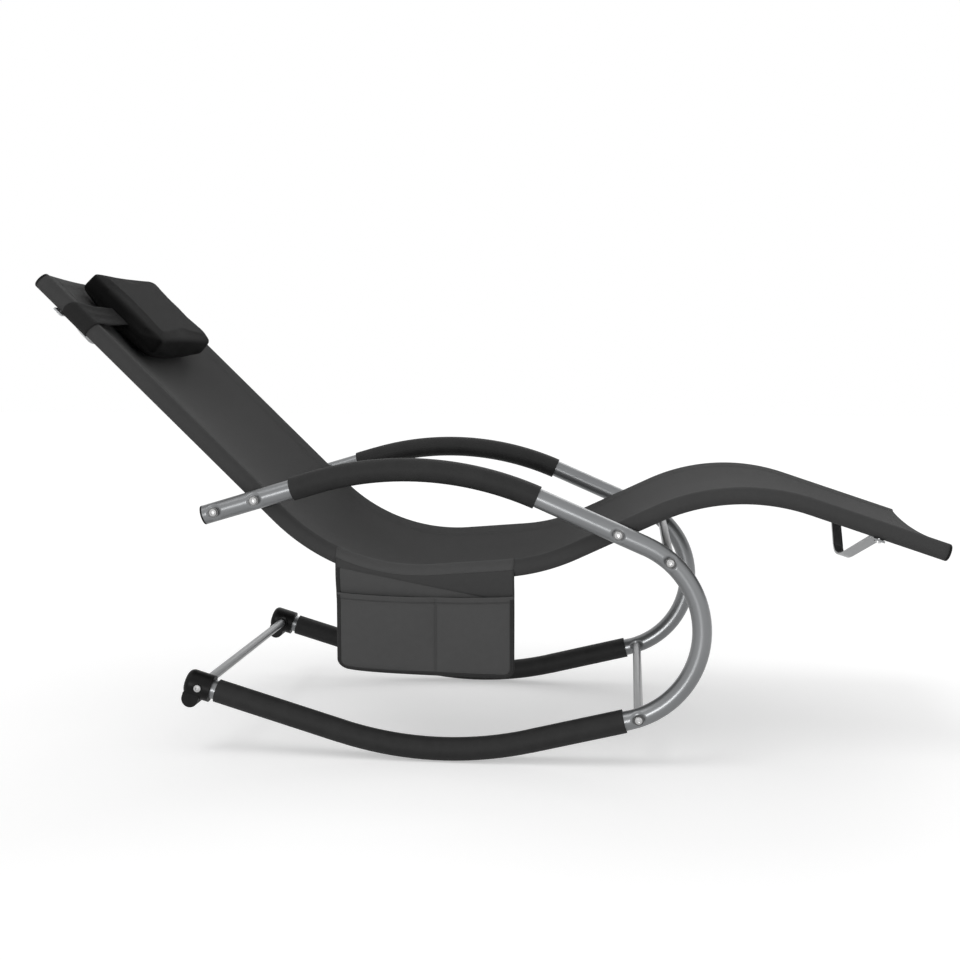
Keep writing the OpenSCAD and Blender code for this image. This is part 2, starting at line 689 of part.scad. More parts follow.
// The band runs from one end of the cushion round both rails and behind the sling
band_r = hem_seat_r + band_gap + band_t / 2;
band_start = [-cushion_w / 2 - fit, seam_height];
band_turn_steps = 16;
band_reach = [band_start[0] + rail_y, band_start[1]];
band_dist = norm(band_reach);
band_tangent = atan2(band_reach[1], band_reach[0]) + acos(band_r / band_dist);
band_flat = rail_y * band_flat_share;
function band_side(lift) = concat(
    [[band_start[0] + lift * cos(band_tangent), band_start[1] + lift * sin(band_tangent)]],
    [for (k = [0 : band_turn_steps]) let (a = band_tangent + (270 - band_tangent) * k / band_turn_steps)
        [-rail_y + (band_r + lift) * cos(a), (band_r + lift) * sin(a)]],
    [[-band_flat, band_back_n - lift]]);
function flipped(points) = [for (k = [len(points) - 1 : -1 : 0]) [-points[k][0], points[k][1]]];
module cushion_band() color(dark) set_at(on_rail(band_at - band_w / 2)) rotate([90, 0, 90]) linear_extrude(band_w)
    polygon(concat(band_side(band_t / 2), flipped(band_side(band_t / 2)),
        [for (k = [0 : 2 * band_turn_steps + 5]) let (inner = concat(band_side(-band_t / 2), flipped(band_side(-band_t / 2))))
            inner[len(inner) - 1 - k]]));

// The bag's header is sewn round the rail's sleeve and ends in a level fold
header_from = bag_at - header_len / 2;
header_to = bag_at + header_len / 2;
header_steps = 18;
header_points = [for (k = [0 : header_steps]) on_rail(header_from + (header_to - header_from) * k / header_steps)];
module header_shape() difference() {
    ring(header_r, bag_t);
    translate([header_inner + $grow, -2 * header_r]) square([header_r, 4 * header_r]);
}
module bag_header() color(charcoal) {
    on_side(-1, rail_y) along(rail_path, rail_start, header_from, header_to) header_shape();
    translate([0, -bag_fold_y + bag_t / 2, 0]) rotate([90, 0, 0]) linear_extrude(bag_t) polygon(concat(
        [for (p = header_points) let (n = skirt_r * sin(skirt_angle)) [p[0] + n * sin(p[2]), p[1] - n * cos(p[2])]],
        [[bag_mid[0] + bag_w / 2, bag_fold_z + fold_gap], [bag_mid[0] - bag_w / 2, bag_fold_z + fold_gap]]));
}

// The bag hangs from the fold; its shapes are drawn from the fold down
module bag_outline(grow, low_y, high_y, top) intersection() {
    translate([bag_mid[0], 0, bag_fold_z]) rotate([90, 0, 0]) linear_extrude(high_y - low_y) {
        half = bag_w / 2 + grow;
        r = bag_corner + grow;
        for (k = [-1, 1]) translate([k * (half - r), -bag_h - grow + r]) circle(r);
        translate([-half, -bag_h - grow + r]) square([2 * half, bag_h + grow - r + top]);
        translate([-half + r, -bag_h - grow]) square([2 * (half - r), bag_h]);
    }
    translate([bag_mid[0] - bag_w, -over, bag_fold_z - 2 * bag_h]) mirror([0, 1, 0])
        cube([2 * bag_w, 4 * bag_w, 2 * bag_h + top]);
}
module bag_slab(grow, y_out, y_in, top) translate([0, -y_in, 0]) bag_outline(grow, 0, y_out - y_in, top);
back_y = bag_fold_y - bag_back_in;
pocket_y = back_y + bag_t / 2;
// The back panel's upper edge is rolled round the fold on which the bag swings
module bag_back_panel() color(charcoal) intersection() {
    translate([bag_mid[0] - bag_w / 2, 0, bag_fold_z]) union() {
        translate([0, -bag_fold_y, 0]) rotate([0, 90, 0]) cylinder(r = fold_r, h = bag_w);
        rotate([90, 0, 90]) linear_extrude(bag_w) polygon([
            [-bag_fold_y - bag_t / 2, 0],
            [-bag_fold_y + bag_t / 2, 0],
            [-back_y + bag_t / 2, -mouth_drop],
            [-back_y + bag_t / 2, -bag_h],
            [-back_y - bag_t / 2, -bag_h],
            [-back_y - bag_t / 2, -mouth_drop]
        ]);
    }
    bag_slab(0, bag_fold_y + bag_depth, back_y - bag_depth, 2 * fold_r);
}
split_x = bag_mid[0] - bag_w / 2 + bag_w * bag_split_share;
module bag_pockets() color(charcoal) difference() {
    bag_slab(0, pocket_y + bag_depth, pocket_y, -mouth_drop);
    difference() {
        bag_slab(-bag_t, pocket_y + bag_depth - bag_t, pocket_y - over, 0);
        translate([split_x - bag_t / 2, -pocket_y - 2 * bag_depth, bag_fold_z - 2 * bag_h])
            cube([bag_t, 3 * bag_depth, 2 * bag_h]);
    }
}
module bag_edge_tape() color(dark) difference() {
    bag_slab(tape_t, pocket_y + bag_depth + tape_t, back_y - bag_t / 2, -mouth_drop);
    bag_slab(0, pocket_y + bag_depth, back_y - bag_t, over);
    bag_slab(-tape_w, pocket_y + 2 * bag_depth, back_y - bag_t, over);
}

right_side_rail();
left_side_rail();
rail_end_plugs();
right_rocker_tube();
left_rocker_tube();
right_arm_tube();
left_arm_tube();
right_arm_sleeve();
left_arm_sleeve();
right_rocker_sleeve();
left_rocker_sleeve();
arm_end_plugs();
right_rear_foot();
left_rear_foot();
rear_rocker_bar();
front_rocker_bar();
knee_bar();
back_bar();
bar_inserts();
head_brace();
foot_brace();
brace_bolts();
rail_nuts();
back_joint_bolts();
seat_joint_bolts();
joint_spacers();
cross_bar_bolts();
rear_foot_bolts();
saddle_washers();
sling_panel();
right_sling_hem();
left_sling_hem();
head_cushion();
cushion_band();
bag_header();
bag_back_panel();
bag_pockets();
bag_edge_tape();
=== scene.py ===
import math

import bpy
import bmesh
import numpy as np
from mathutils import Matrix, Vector, noise


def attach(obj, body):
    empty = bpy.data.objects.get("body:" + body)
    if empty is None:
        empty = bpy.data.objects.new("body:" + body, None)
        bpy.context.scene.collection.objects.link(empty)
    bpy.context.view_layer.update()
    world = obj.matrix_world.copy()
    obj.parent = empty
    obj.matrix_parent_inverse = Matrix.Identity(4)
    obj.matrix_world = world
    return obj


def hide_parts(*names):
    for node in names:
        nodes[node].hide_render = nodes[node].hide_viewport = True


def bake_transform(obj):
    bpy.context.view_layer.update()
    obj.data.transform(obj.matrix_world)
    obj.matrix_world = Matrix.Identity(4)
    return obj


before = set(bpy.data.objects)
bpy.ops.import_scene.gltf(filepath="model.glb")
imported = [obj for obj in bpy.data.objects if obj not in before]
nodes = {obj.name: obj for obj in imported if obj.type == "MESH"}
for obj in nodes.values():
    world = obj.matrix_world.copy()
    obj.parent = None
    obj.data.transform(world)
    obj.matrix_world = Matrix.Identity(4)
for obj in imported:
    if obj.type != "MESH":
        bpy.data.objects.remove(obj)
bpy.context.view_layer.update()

MM = 0.001
TINY = 1e-9


def rad(degrees):
    return math.radians(degrees)


def clamp(value):
    return min(1, max(0, value))


def ease(a, b, share):
    return a + (b - a) * (1 - math.cos(math.pi * clamp(share))) / 2


def smooth_step(t):
    return t * t * (3 - 2 * t)


# Places on the rails. A piece of the rail is (length, 0) or (radius, turn), as in the part's source
RAIL = [(566, 0), (340, 48.9), (117, 0), (340, 20.6), (148, 0), (340, -43.7), (223, 0)]
# Where the rail starts, as (x, z, heading)
RAIL_START = (-749.370, 800.187, -44.2)
RAIL_Y = 245.6
HEM_R = 14.4


def run_len(piece):
    size, turn = piece
    return size if turn == 0 else size * abs(rad(turn))


def go(place, piece, s):
    """The place s along a piece of the rail that starts at the given place."""
    x, z, heading = place
    size, turn = piece
    if turn == 0:
        return (x + s * math.cos(rad(heading)), z + s * math.sin(rad(heading)), heading)
    way = 1 if turn > 0 else -1
    turned = heading + way * math.degrees(s / size)
    return (x + way * size * (math.sin(rad(turned)) - math.sin(rad(heading))),
            z - way * size * (math.cos(rad(turned)) - math.cos(rad(heading))), turned)


# Distance along the rail at the start of each piece, and at the rail's end
REACH = [sum(run_len(p) for p in RAIL[:i]) for i in range(len(RAIL) + 1)]
RAIL_LEN = REACH[-1]


def on_rail(s):
    """The place (x, z, heading) at s along the rail's centre line."""
    place = RAIL_START
    for i, piece in enumerate(RAIL):
        if s <= run_len(piece) or i == len(RAIL) - 1:
            return go(place, piece, s)
        place = go(place, piece, run_len(piece))
        s -= run_len(piece)


def square_up(s):
    """The direction square to the rail, upwards."""
    heading = rad(on_rail(s)[2])
    return Vector((-math.sin(heading), 0, math.cos(heading)))


def sheet_point(s, y, n):
    """A point at s along the rail, y across and n square to the rail, in metres."""
    x, z, h = on_rail(s)
    return Vector((x - n * math.sin(rad(h)), y, z + n * math.cos(rad(h)))) * MM


# The sling's sag: small at the two end edges, deepest in the middle of the seat
BACK_SAG, SEAT_SAG, LEG_SAG = 28, 48, 20
END_SAG, END_RUN = 8, 200
BACK_STRAIGHT = RAIL[0][0]
SAG_START = BACK_STRAIGHT * 0.86
SEAT_MID = REACH[2] + RAIL[2][0] / 2
# Height over the rail's centre at which the sling's sheet leaves the hem, in the part's source
WEB_ANGLE = 50
EDGE_N = HEM_R * math.sin(rad(WEB_ANGLE))


def sag(s):
    if s < SEAT_MID:
        full = ease(BACK_SAG, SEAT_SAG, (s - SAG_START) / (SEAT_MID - SAG_START))
    else:
        full = ease(SEAT_SAG, LEG_SAG, (s - SEAT_MID) / (REACH[5] - SEAT_MID))
    from_end = min(1, min(s, RAIL_LEN - s) / END_RUN)
    return END_SAG + (full - END_SAG) * math.sin(math.pi / 2 * from_end)


# Materials
def add_node(tree, kind, inputs, **settings):
    """The outputs of a new node. Its inputs get values, or links where they are given an output."""
    n = tree.nodes.new(kind)
    for key, value in settings.items():
        setattr(n, key, value)
    for key, value in inputs.items():
        if isinstance(value, bpy.types.NodeSocket):
            tree.links.new(value, n.inputs[key])
        else:
            n.inputs[key].default_value = value
    return n.outputs


def add_math(tree, op, *values):
    return add_node(tree, "ShaderNodeMath", dict(enumerate(values)), operation=op)[0]


class Finish:
    """A node material and short ways to add nodes to it."""

    def __init__(self, name, colour, rough, metallic=0.0, **sockets):
        self.mat = bpy.data.materials.new(name)
        self.mat.use_nodes = True
        self.tree = self.mat.node_tree
        self.shader = self.tree.nodes["Principled BSDF"]
        self.shader.inputs["Base Color"].default_value = (*colour, 1)
        self.shader.inputs["Roughness"].default_value = rough
        self.shader.inputs["Metallic"].default_value = metallic
        for key, value in sockets.items():
            self.shader.inputs[key.replace("_", " ")].default_value = value
        self.mat.diffuse_color = (*colour, 1)

    def node(self, kind, inputs, **settings):
        return add_node(self.tree, kind, inputs, **settings)

    def colour(self, out):
        self.tree.links.new(out, self.shader.inputs["Base Color"])

    def roughness(self, out):
        self.tree.links.new(out, self.shader.inputs["Roughness"])

    def math(self, op, *values):
        return add_math(self.tree, op, *values)

    def mixed(self, a, share_a, b, share_b):
        return self.math("ADD", self.math("MULTIPLY", a, share_a), self.math("MULTIPLY", b, share_b))

    def coords(self, kind="Object", turn=(0, 0, 0)):
        place = self.node("ShaderNodeTexCoord", {})[kind]
        return self.node("ShaderNodeMapping", {"Vector": place, "Rotation": turn})[0]

    def parts(self, vector):
        return self.node("ShaderNodeSeparateXYZ", {0: vector})

    def noise(self, vector, scale, detail, rough=0.5):
        values = {"Vector": vector, "Scale": scale, "Detail": detail, "Roughness": rough}
        return self.node("ShaderNodeTexNoise", values)["Fac"]

    def ramp(self, fac, start, end):
        """Colours between two stops, each a place and a grey or a colour."""
        n = self.tree.nodes.new("ShaderNodeValToRGB")
        for e, (at, c) in zip(n.color_ramp.elements, (start, end)):
            e.position = at
            e.color = (c, c, c, 1) if isinstance(c, (int, float)) else (*c, 1)
        self.tree.links.new(fac, n.inputs["Fac"])
        return n.outputs["Color"]

    def span(self, fac, low, high, at_low=0.0, at_high=1.0, kind="LINEAR"):
        """Turns at_low to at_high into low to high."""
        values = {"Value": fac, "From Min": at_low, "From Max": at_high, "To Min": low, "To Max": high}
        return self.node("ShaderNodeMapRange", values, interpolation_type=kind)["Result"]

    def bump(self, height, distance, strength, normal=None):
        values = {"Height": height, "Distance": distance, "Strength": strength}
        if normal is not None:
            values["Normal"] = normal
        out = self.node("ShaderNodeBump", values)["Normal"]
        self.tree.links.new(out, self.shader.inputs["Normal"])
        return out


# How much lower a thread lies where it passes its neighbours than on its crown, as a share
CRIMP = 0.4


def weave_group():
    """Height of a plain weave of threads, from two coordinates counted in threads."""
    g = bpy.data.node_groups.new("weave", "ShaderNodeTree")
    for name, way in (("U", "INPUT"), ("V", "INPUT"), ("Height", "OUTPUT")):
        g.interface.new_socket(name, in_out=way, socket_type="NodeSocketFloat")
    start = add_node(g, "NodeGroupInput", {})

    def op(kind, *values):
        return add_math(g, kind, *values)

    waves = [op("SINE", op("MULTIPLY", start[k], math.pi)) for k in ("U", "V")]
    over = op("MULTIPLY_ADD", op("SIGN", op("MULTIPLY", *waves)), 0.5, 0.5)
    humps = [op("ABSOLUTE", w) for w in waves]
    warp = op("MULTIPLY", humps[0], op("MULTIPLY_ADD", humps[1], CRIMP, 1 - CRIMP))
    weft = op("MULTIPLY", humps[1], op("MULTIPLY_ADD", humps[0], CRIMP, 1 - CRIMP))
    warp_up = op("MULTIPLY", warp, over)
    weft_up = op("MULTIPLY", weft, op("SUBTRACT", 1.0, over))
    add_node(g, "NodeGroupOutput", {"Height": op("ADD", warp_up, weft_up)})
    return g


WEAVE = weave_group()
# Share of a cloth's tone that comes from uneven threads, and from wide clouds
SLUB_SHARE, CLOUD_SHARE = 0.15, 0.12
THREAD_DEPTH = 0.25 * MM


def woven(f, vector, pitch, dark, light, painted_shade=None):
    """Adds a weave to a finish. The vector is in metres along the threads; painted_shade darkens the colour
    as painted shade.
    """
    along = f.parts(vector)
    threads = {"U": f.math("MULTIPLY", along[0], 1 / pitch), "V": f.math("MULTIPLY", along[1], 1 / pitch)}
    height = f.node("ShaderNodeGroup", threads, node_tree=WEAVE)["Height"]
    slub = f.noise(vector, scale=90, detail=2)
    wide = f.noise(vector, scale=7, detail=3)
    plain = f.math("MULTIPLY", height, 1 - CLOUD_SHARE - SLUB_SHARE)
    tone = f.math("ADD", plain, f.mixed(slub, SLUB_SHARE, wide, CLOUD_SHARE))
    colour = f.ramp(tone, (0.05, dark), (0.85, light))
    # Painted shade: where painted_shade is under one, the weave's colour is scaled down by it.
    if painted_shade is not None:
        colour = f.node("ShaderNodeVectorMath", {0: colour, "Scale": painted_shade}, operation="SCALE")[0]
    f.colour(colour)
    f.roughness(f.span(slub, 0.7, 0.85))
    f.bump(height, distance=THREAD_DEPTH, strength=0.6)
    return f.mat


# Bolts through the loops, as (x, z), and the dish that is pressed into the tube round each head
BACK_JOINT = (-373.709, 434.872)
SEAT_JOINT = (228.250, 386.001)
LOOP_BOLTS = [(-442.67, 414.18), BACK_JOINT, SEAT_JOINT, (311.93, 342.13), (264.17, 82.31)]
DISH_IN_R, DISH_OUT_R, DISH_DEEP = 6.0, 14.5, 3.0
# More than the distance from any point of the object to a bolt, in metres
FAR = 1.0


def pressed_round_bolts(f, vector):
    """Height of the loops' skin, which falls to zero at each bolt."""
    flat = f.node("ShaderNodeVectorMath", {0: vector, 1: (1, 0, 1)}, operation="MULTIPLY")[0]
    nearest = FAR
    for x, z in LOOP_BOLTS:
        bolt = (x * MM, 0, z * MM)
        gap = f.node("ShaderNodeVectorMath", {0: flat, 1: bolt}, operation="DISTANCE")["Value"]
        nearest = f.math("MINIMUM", gap, nearest)
    return f.span(nearest, 0, 1, DISH_IN_R * MM, DISH_OUT_R * MM, kind="SMOOTHSTEP")


def silver_paint():
    dark, light = (0.18, 0.185, 0.19), (0.21, 0.215, 0.22)
    f = Finish("silver_paint", light, 0.34, metallic=0.6, Coat_Weight=0.15, Coat_Roughness=0.3)
    v = f.coords()
    peel = f.noise(v, scale=900, detail=2)
    cloud = f.noise(v, scale=9, detail=2)
    fleck = f.noise(v, scale=4200, detail=1)
    f.colour(f.ramp(f.mixed(cloud, 0.5, fleck, 0.5), (0.3, dark), (0.7, light)))
    f.roughness(f.span(cloud, 0.31, 0.36, 0.3, 0.75))
    pressed = f.bump(pressed_round_bolts(f, v), distance=DISH_DEEP * MM, strength=1.0)
    f.bump(peel, distance=0.02 * MM, strength=0.4, normal=pressed)
    return f.mat


def zinc(name, low, high):
    f = Finish(name, (high,) * 3, 0.24, metallic=1.0)
    v = f.coords()
    grain = f.noise(v, scale=2500, detail=2)
    tarnish = f.noise(v, scale=130, detail=3)
    f.colour(f.ramp(tarnish, (0.3, low), (0.7, high)))
    f.roughness(f.span(grain, 0.17, 0.36))
    f.bump(grain, distance=0.03 * MM, strength=0.4)
    return f.mat


def foam(name, low, high):
    f = Finish(name, (low,) * 3, 0.7, Specular_IOR_Level=0.2)
    v = f.coords()
    pores = f.node("ShaderNodeTexVoronoi", {"Vector": v, "Scale": 650}, feature="SMOOTH_F1")["Distance"]
    lumps = f.noise(v, scale=45, detail=3)
    fine = f.noise(v, scale=1400, detail=2)
    f.colour(f.ramp(f.mixed(lumps, 0.6, fine, 0.4), (0.3, low), (0.7, high)))
    f.roughness(f.span(lumps, 0.55, 0.75))
    pitted = f.bump(pores, distance=0.35 * MM, strength=0.5)
    f.bump(lumps, distance=0.6 * MM, strength=0.5, normal=pitted)
    return f.mat


def black_plastic():
    f = Finish("black_plastic", (0.004,) * 3, 0.42, Specular_IOR_Level=0.12)
    v = f.coords()
    grain = f.noise(v, scale=1800, detail=2)
    rub = f.noise(v, scale=70, detail=4, rough=0.65)
    f.colour(f.ramp(rub, (0.35, 0.003), (0.75, 0.007)))
    f.roughness(f.span(rub, 0.34, 0.55))
    f.bump(grain, distance=0.06 * MM, strength=0.6)
    return f.mat


def cloth_uv(name, pitch, dark, light):
    """A weave that follows a sheet's flat coordinates."""
    f = Finish(name, (light,) * 3, 0.8, Sheen_Weight=0.02, Sheen_Roughness=0.5, Specular_IOR_Level=0.08)
    return woven(f, f.coords("UV"), pitch, dark, light)


def cloth_object(name, pitch, dark, light, turn, side):
    """A weave that lies on each face of a solid piece by the way it looks. The piece's sides are darkened as
    painted shade.
    """
    f = Finish(name, (light,) * 3, 0.8, Sheen_Weight=0.01, Sheen_Roughness=0.5, Specular_IOR_Level=0.05)
    place = f.parts(f.coords("Object", turn))
    look = f.parts(f.coords("Normal", turn))
    ax, ay, az = (f.math("ABSOLUTE", look[k]) for k in range(3))
    looks_x = f.math("GREATER_THAN", ax, f.math("MAXIMUM", ay, az))
    looks_y = f.math("GREATER_THAN", ay, f.math("MAXIMUM", ax, az))

    def pick(a, b, chooser):
        return f.mixed(a, f.math("SUBTRACT", 1.0, chooser), b, chooser)

    along = {0: pick(place[0], place[2], looks_x), 1: pick(place[1], place[2], looks_y)}
    flat = f.node("ShaderNodeCombineXYZ", along)[0]
    # Painted shade: faces that turn away from the backrest's up are darkened, down to the given side share.
    return woven(f, flat, pitch, dark, light, f.span(az, side, 1.0, 0.15, 0.8))


def sewing_thread():
    f = Finish("thread", (0.02,) * 3, 0.6)
    f.colour(f.ramp(f.noise(f.coords(), scale=2600, detail=2), (0.3, 0.014), (0.7, 0.03)))
    return f.mat


SILVER = silver_paint()
ZINC = zinc("bright_zinc", 0.40, 0.52)
PLASTIC = black_plastic()
# Painted shade: the saddle washers get a near-black zinc that stands in for the shadow ring round each bolt
# head.
WASHER_PAINTED_SHADE = zinc("washer_painted_shade", 0.06, 0.10)
FOAM = foam("foam_sleeve", 0.012, 0.024)
SLING = cloth_uv("sling_fabric", 1.4 * MM, 0.025, 0.061)
BAG = cloth_uv("bag_fabric", 1.1 * MM, 0.038, 0.085)
# Painted shade: the cushion's sides are darkened to 0.15 of its fabric's tone, as though in shade.
CUSHION = cloth_object("cushion_fabric", 1.1 * MM, 0.013, 0.031, turn=(0, rad(RAIL_START[2]), 0), side=0.15)
BAND = cloth_uv("band_fabric", 1.1 * MM, 0.009, 0.023)
TAPE = cloth_uv("dark_tape", 0.8 * MM, 0.018, 0.036)
THREAD = sewing_thread()


def paint(material, *names):
    for n in names:
        mesh = nodes[n].data
        mesh.materials.clear()
        mesh.materials.append(material)


paint(SILVER, "right_side_rail", "left_side_rail", "right_rocker_tube", "left_rocker_tube",
      "right_arm_tube", "left_arm_tube", "rear_rocker_bar", "front_rocker_bar", "knee_bar", "back_bar",
      "head_brace", "foot_brace")
paint(ZINC, "bar_inserts", "brace_bolts", "rail_nuts", "back_joint_bolts", "seat_joint_bolts",
      "cross_bar_bolts", "rear_foot_bolts")
# The saddle washers carry painted shade, a near-black zinc in place of the shadow round the bolt heads.
paint(WASHER_PAINTED_SHADE, "saddle_washers")
paint(FOAM, "right_arm_sleeve", "left_arm_sleeve", "right_rocker_sleeve", "left_rocker_sleeve")
paint(PLASTIC, "rail_end_plugs", "arm_end_plugs", "right_rear_foot", "left_rear_foot", "joint_spacers")


# Meshes
def add_object(name, mesh, material=None, smooth=True):
    o = bpy.data.objects.new(name, mesh)
    bpy.context.scene.collection.objects.link(o)
    if material is not None:
        mesh.materials.append(material)
    if smooth:
        mesh.polygons.foreach_set("use_smooth", [True] * len(mesh.polygons))
    return o


def grid_mesh(name, rows, uvs):
    """A sheet from rows of points, with its flat coordinates in metres."""
    m, n = len(rows), len(rows[0])
    points = [p for row in rows for p in row]
    faces = [(i * n + j, i * n + j + 1, (i + 1) * n + j + 1, (i + 1) * n + j)
             for i in range(m - 1) for j in range(n - 1)]
    mesh = bpy.data.meshes.new(name)
    mesh.from_pydata(points, [], faces)
    layer = mesh.uv_layers.new(name="UVMap")
    flat = [uv for row in uvs for uv in row]
    for loop in mesh.loops:
        layer.data[loop.index].uv = flat[loop.vertex_index]
    mesh.update()
    return mesh


def add_sheet(name, rows, uvs, material, t):
    """A piece of cloth t thick, with rows of points on its middle surface."""
    o = add_object(name, grid_mesh(name, rows, uvs), material)
    mod = o.modifiers.new("thickness", "SOLIDIFY")
    mod.thickness = t * MM
    mod.offset = 0
    mod.use_even_offset = True
    return o


def surface(name, row_count, cols, place, material, t):
    """A piece of cloth on a grid. place(row, share across) gives a point in mm and its flat coordinates."""
    rows, uvs = [], []
    for k in range(row_count):
        cells = [place(k, c / cols) for c in range(cols + 1)]
        rows.append([Vector(p) * MM for p, _ in cells])
        uvs.append([(u * MM, v * MM) for _, (u, v) in cells])
    return add_sheet(name, rows, uvs, material, t)


def distances(points):
    """How far along a line each of its points lies."""
    out = [0.0]
    for a, b in zip(points, points[1:]):
        out.append(out[-1] + math.dist(a, b))
    return out


# A stitch is a capsule: rings at (share of its length, share of its radius, lift in radii)
STITCH_LEN, STITCH_GAP, STITCH_R = 3.2 * MM, 1.4 * MM, 0.34 * MM
STITCH_RINGS = ((0.0, 0.35, -0.5), (0.3, 1.0, 0.25), (0.7, 1.0, 0.25), (1.0, 0.35, -0.5))
STITCH_SIDES = 6


def line_place(line, reach, d):
    """The point and the outward direction at a distance along a line of such pairs."""
    k = min(max(int(np.searchsorted(reach, d)) - 1, 0), len(line) - 2)
    t = (d - reach[k]) / max(reach[k + 1] - reach[k], TINY)
    (p, up), (next_p, next_up) = line[k], line[k + 1]
    return p.lerp(next_p, t), up.lerp(next_up, t).normalized()


def add_stitch(verts, faces, line, reach, d):
    base, n = len(verts), STITCH_SIDES
    start, end = line_place(line, reach, d)[0], line_place(line, reach, d + STITCH_LEN)[0]
    along = (end - start).normalized()
    for share, wide, lift in STITCH_RINGS:
        c, up = line_place(line, reach, d + share * STITCH_LEN)
        side = along.cross(up).normalized()
        for k in range(n):
            t = 2 * math.pi * k / n
            ring_point = (side * math.cos(t) + up * math.sin(t)) * wide
            verts.append(c + (up * lift + ring_point) * STITCH_R)
    last = base + (len(STITCH_RINGS) - 1) * n
    for ring in range(base, last, n):
        for k in range(n):
            after = (k + 1) % n
            faces.append((ring + k, ring + after, ring + n + after, ring + n + k))
    faces.append(tuple(base + k for k in reversed(range(n))))
    faces.append(tuple(last + k for k in range(n)))


def stitches(name, lines):
    """Sewing thread along lines of (point, outward) pairs, in metres."""
    verts, faces = [], []
    for line in lines:
        line = [(Vector(p), Vector(u).normalized()) for p, u in line]
        reach = distances([p for p, _ in line])
        d = STITCH_GAP
        while d + STITCH_LEN < reach[-1]:
            add_stitch(verts, faces, line, reach, d)
            d += STITCH_LEN + STITCH_GAP
    mesh = bpy.data.meshes.new(name)
    mesh.from_pydata(verts, [], faces)
    mesh.update()
    return add_object(name, mesh, THREAD)


# The sling is one cloth, from the hem round one rail to the hem round the other
CLOTH_T = 1.1
WRAP_R = HEM_R - CLOTH_T / 2
# From the rail's centre in to the seam, and on from the seam to the hem's cut edge
SEWN_IN, SEW_EDGE = 30, 9
# Between the sheet and the hem's edge under it
HEM_GAP = 0.25
SEW_STEPS, STRAIGHT_STEPS, WRAP_STEPS, WEB_COLS = 3, 5, 22, 44
SLING_FROM, SLING_TO = 0.4, RAIL_LEN - 0.4
# Steps along the rail where it is straight and where it bends
ROW_STEP, BEND_STEP = 9, 7
BISECTIONS = 40
# The turn of the rail at which the sheet leaves it lies between these, in radians
LEAST_LEAVE, MOST_LEAVE = 0.02, 1.2


def turning_point(is_below, low, high):
    """The value between low and high at which is_below stops being true."""
    for _ in range(BISECTIONS):
        mid = (low + high) / 2
        if is_below(mid):
            low = mid
        else:
            high = mid
    return (low + high) / 2


def wrap_point(t):
    """A point of the cloth round the rail, t from the rail's top towards the chair's middle, as (y, n)."""
    return RAIL_Y - WRAP_R * math.sin(t), WRAP_R * math.cos(t)


def web_ends(s):
    """Where the sheet leaves the rail: (turn from the rail's top, y, n at the edge, n at the middle)."""
    mid = EDGE_N - sag(s)

    def still_on_rail(t):
        y, n = wrap_point(t)
        return 2 * (n - mid) / y > math.tan(t)

    t = turning_point(still_on_rail, LEAST_LEAVE, MOST_LEAVE)
    return (t, *wrap_point(t), mid)


def web_arc(ends, y):
    _, edge, n, mid = ends
    return mid + (n - mid) * (y / edge) ** 2


def web_n(s, y):
    return web_arc(web_ends(s), y)


def drift(a, b, layer, size):
    """Smooth noise over two coordinates. Each layer has its own."""
    return noise.noise(Vector((a, b, layer))) * size


# Half width of the part of the sheet that ripples
RIPPLE_HALF = 232
# Creases across the sling, as (place along the rail, width, depth), and how far they wander
CREASES = ((560, 26, 1.1), (655, 34, 1.5), (770, 30, 0.9), (1010, 30, 0.8))
CREASE_WANDER = 14


def ripple(s, y):
    """Slack and tension folds of the sling, square to it."""
    if abs(y) > RIPPLE_HALF:
        return 0.0
    free = 1 - (y / RIPPLE_HALF) ** 2
    soft = drift(s / 260, y / 190, 3.1, 2.2) + drift(s / 95, y / 120, 8.4, 0.7)
    crease = 0.0
    for at, wide, deep in CREASES:
        d = (s - at - CREASE_WANDER * math.sin(y / 75 + at)) / wide
        crease += deep * math.exp(-d * d)
    return free * (soft - crease)


def touching(y, n, r):
    """Angle of the point where a line from (y, n) touches the lower side of a circle round the origin."""
    return math.atan2(n, y) - math.acos(r / math.hypot(y, n))


def wrap_profile(s, side):
    """The hem round one rail, from its sewn edge under the sheet to where the sheet leaves the rail."""
    ends = web_ends(s)

    def under(y):
        return web_arc(ends, y) - CLOTH_T - HEM_GAP

    out = []
    for k in range(SEW_STEPS, 0, -1):
        y = RAIL_Y - SEWN_IN - SEW_EDGE * k / SEW_STEPS
        out.append((y, under(y)))
    seam_n = under(RAIL_Y - SEWN_IN)
    leave = touching(SEWN_IN, seam_n, WRAP_R)
    touch_in, touch_n = WRAP_R * math.cos(leave), WRAP_R * math.sin(leave)
    for k in range(STRAIGHT_STEPS):
        share = k / STRAIGHT_STEPS
        out.append((RAIL_Y - SEWN_IN + (SEWN_IN - touch_in) * share, seam_n + (touch_n - seam_n) * share))
    first, last = math.pi + abs(leave), 2 * math.pi + math.pi / 2 + ends[0]
    for k in range(WRAP_STEPS + 1):
        a = first + (last - first) * k / WRAP_STEPS
        out.append((RAIL_Y + WRAP_R * math.cos(a), WRAP_R * math.sin(a)))
    return [(side * y, n) for y, n in out]


def sling_profile(s):
    """The whole cloth across the chair, as (y, n) from the right hem to the left one."""
    ends = web_ends(s)
    middle = []
    for k in range(1, WEB_COLS):
        y = ends[1] * (2 * k / WEB_COLS - 1)
        middle.append((y, web_arc(ends, y) + ripple(s, y)))
    return wrap_profile(s, -1) + middle + wrap_profile(s, 1)[::-1]


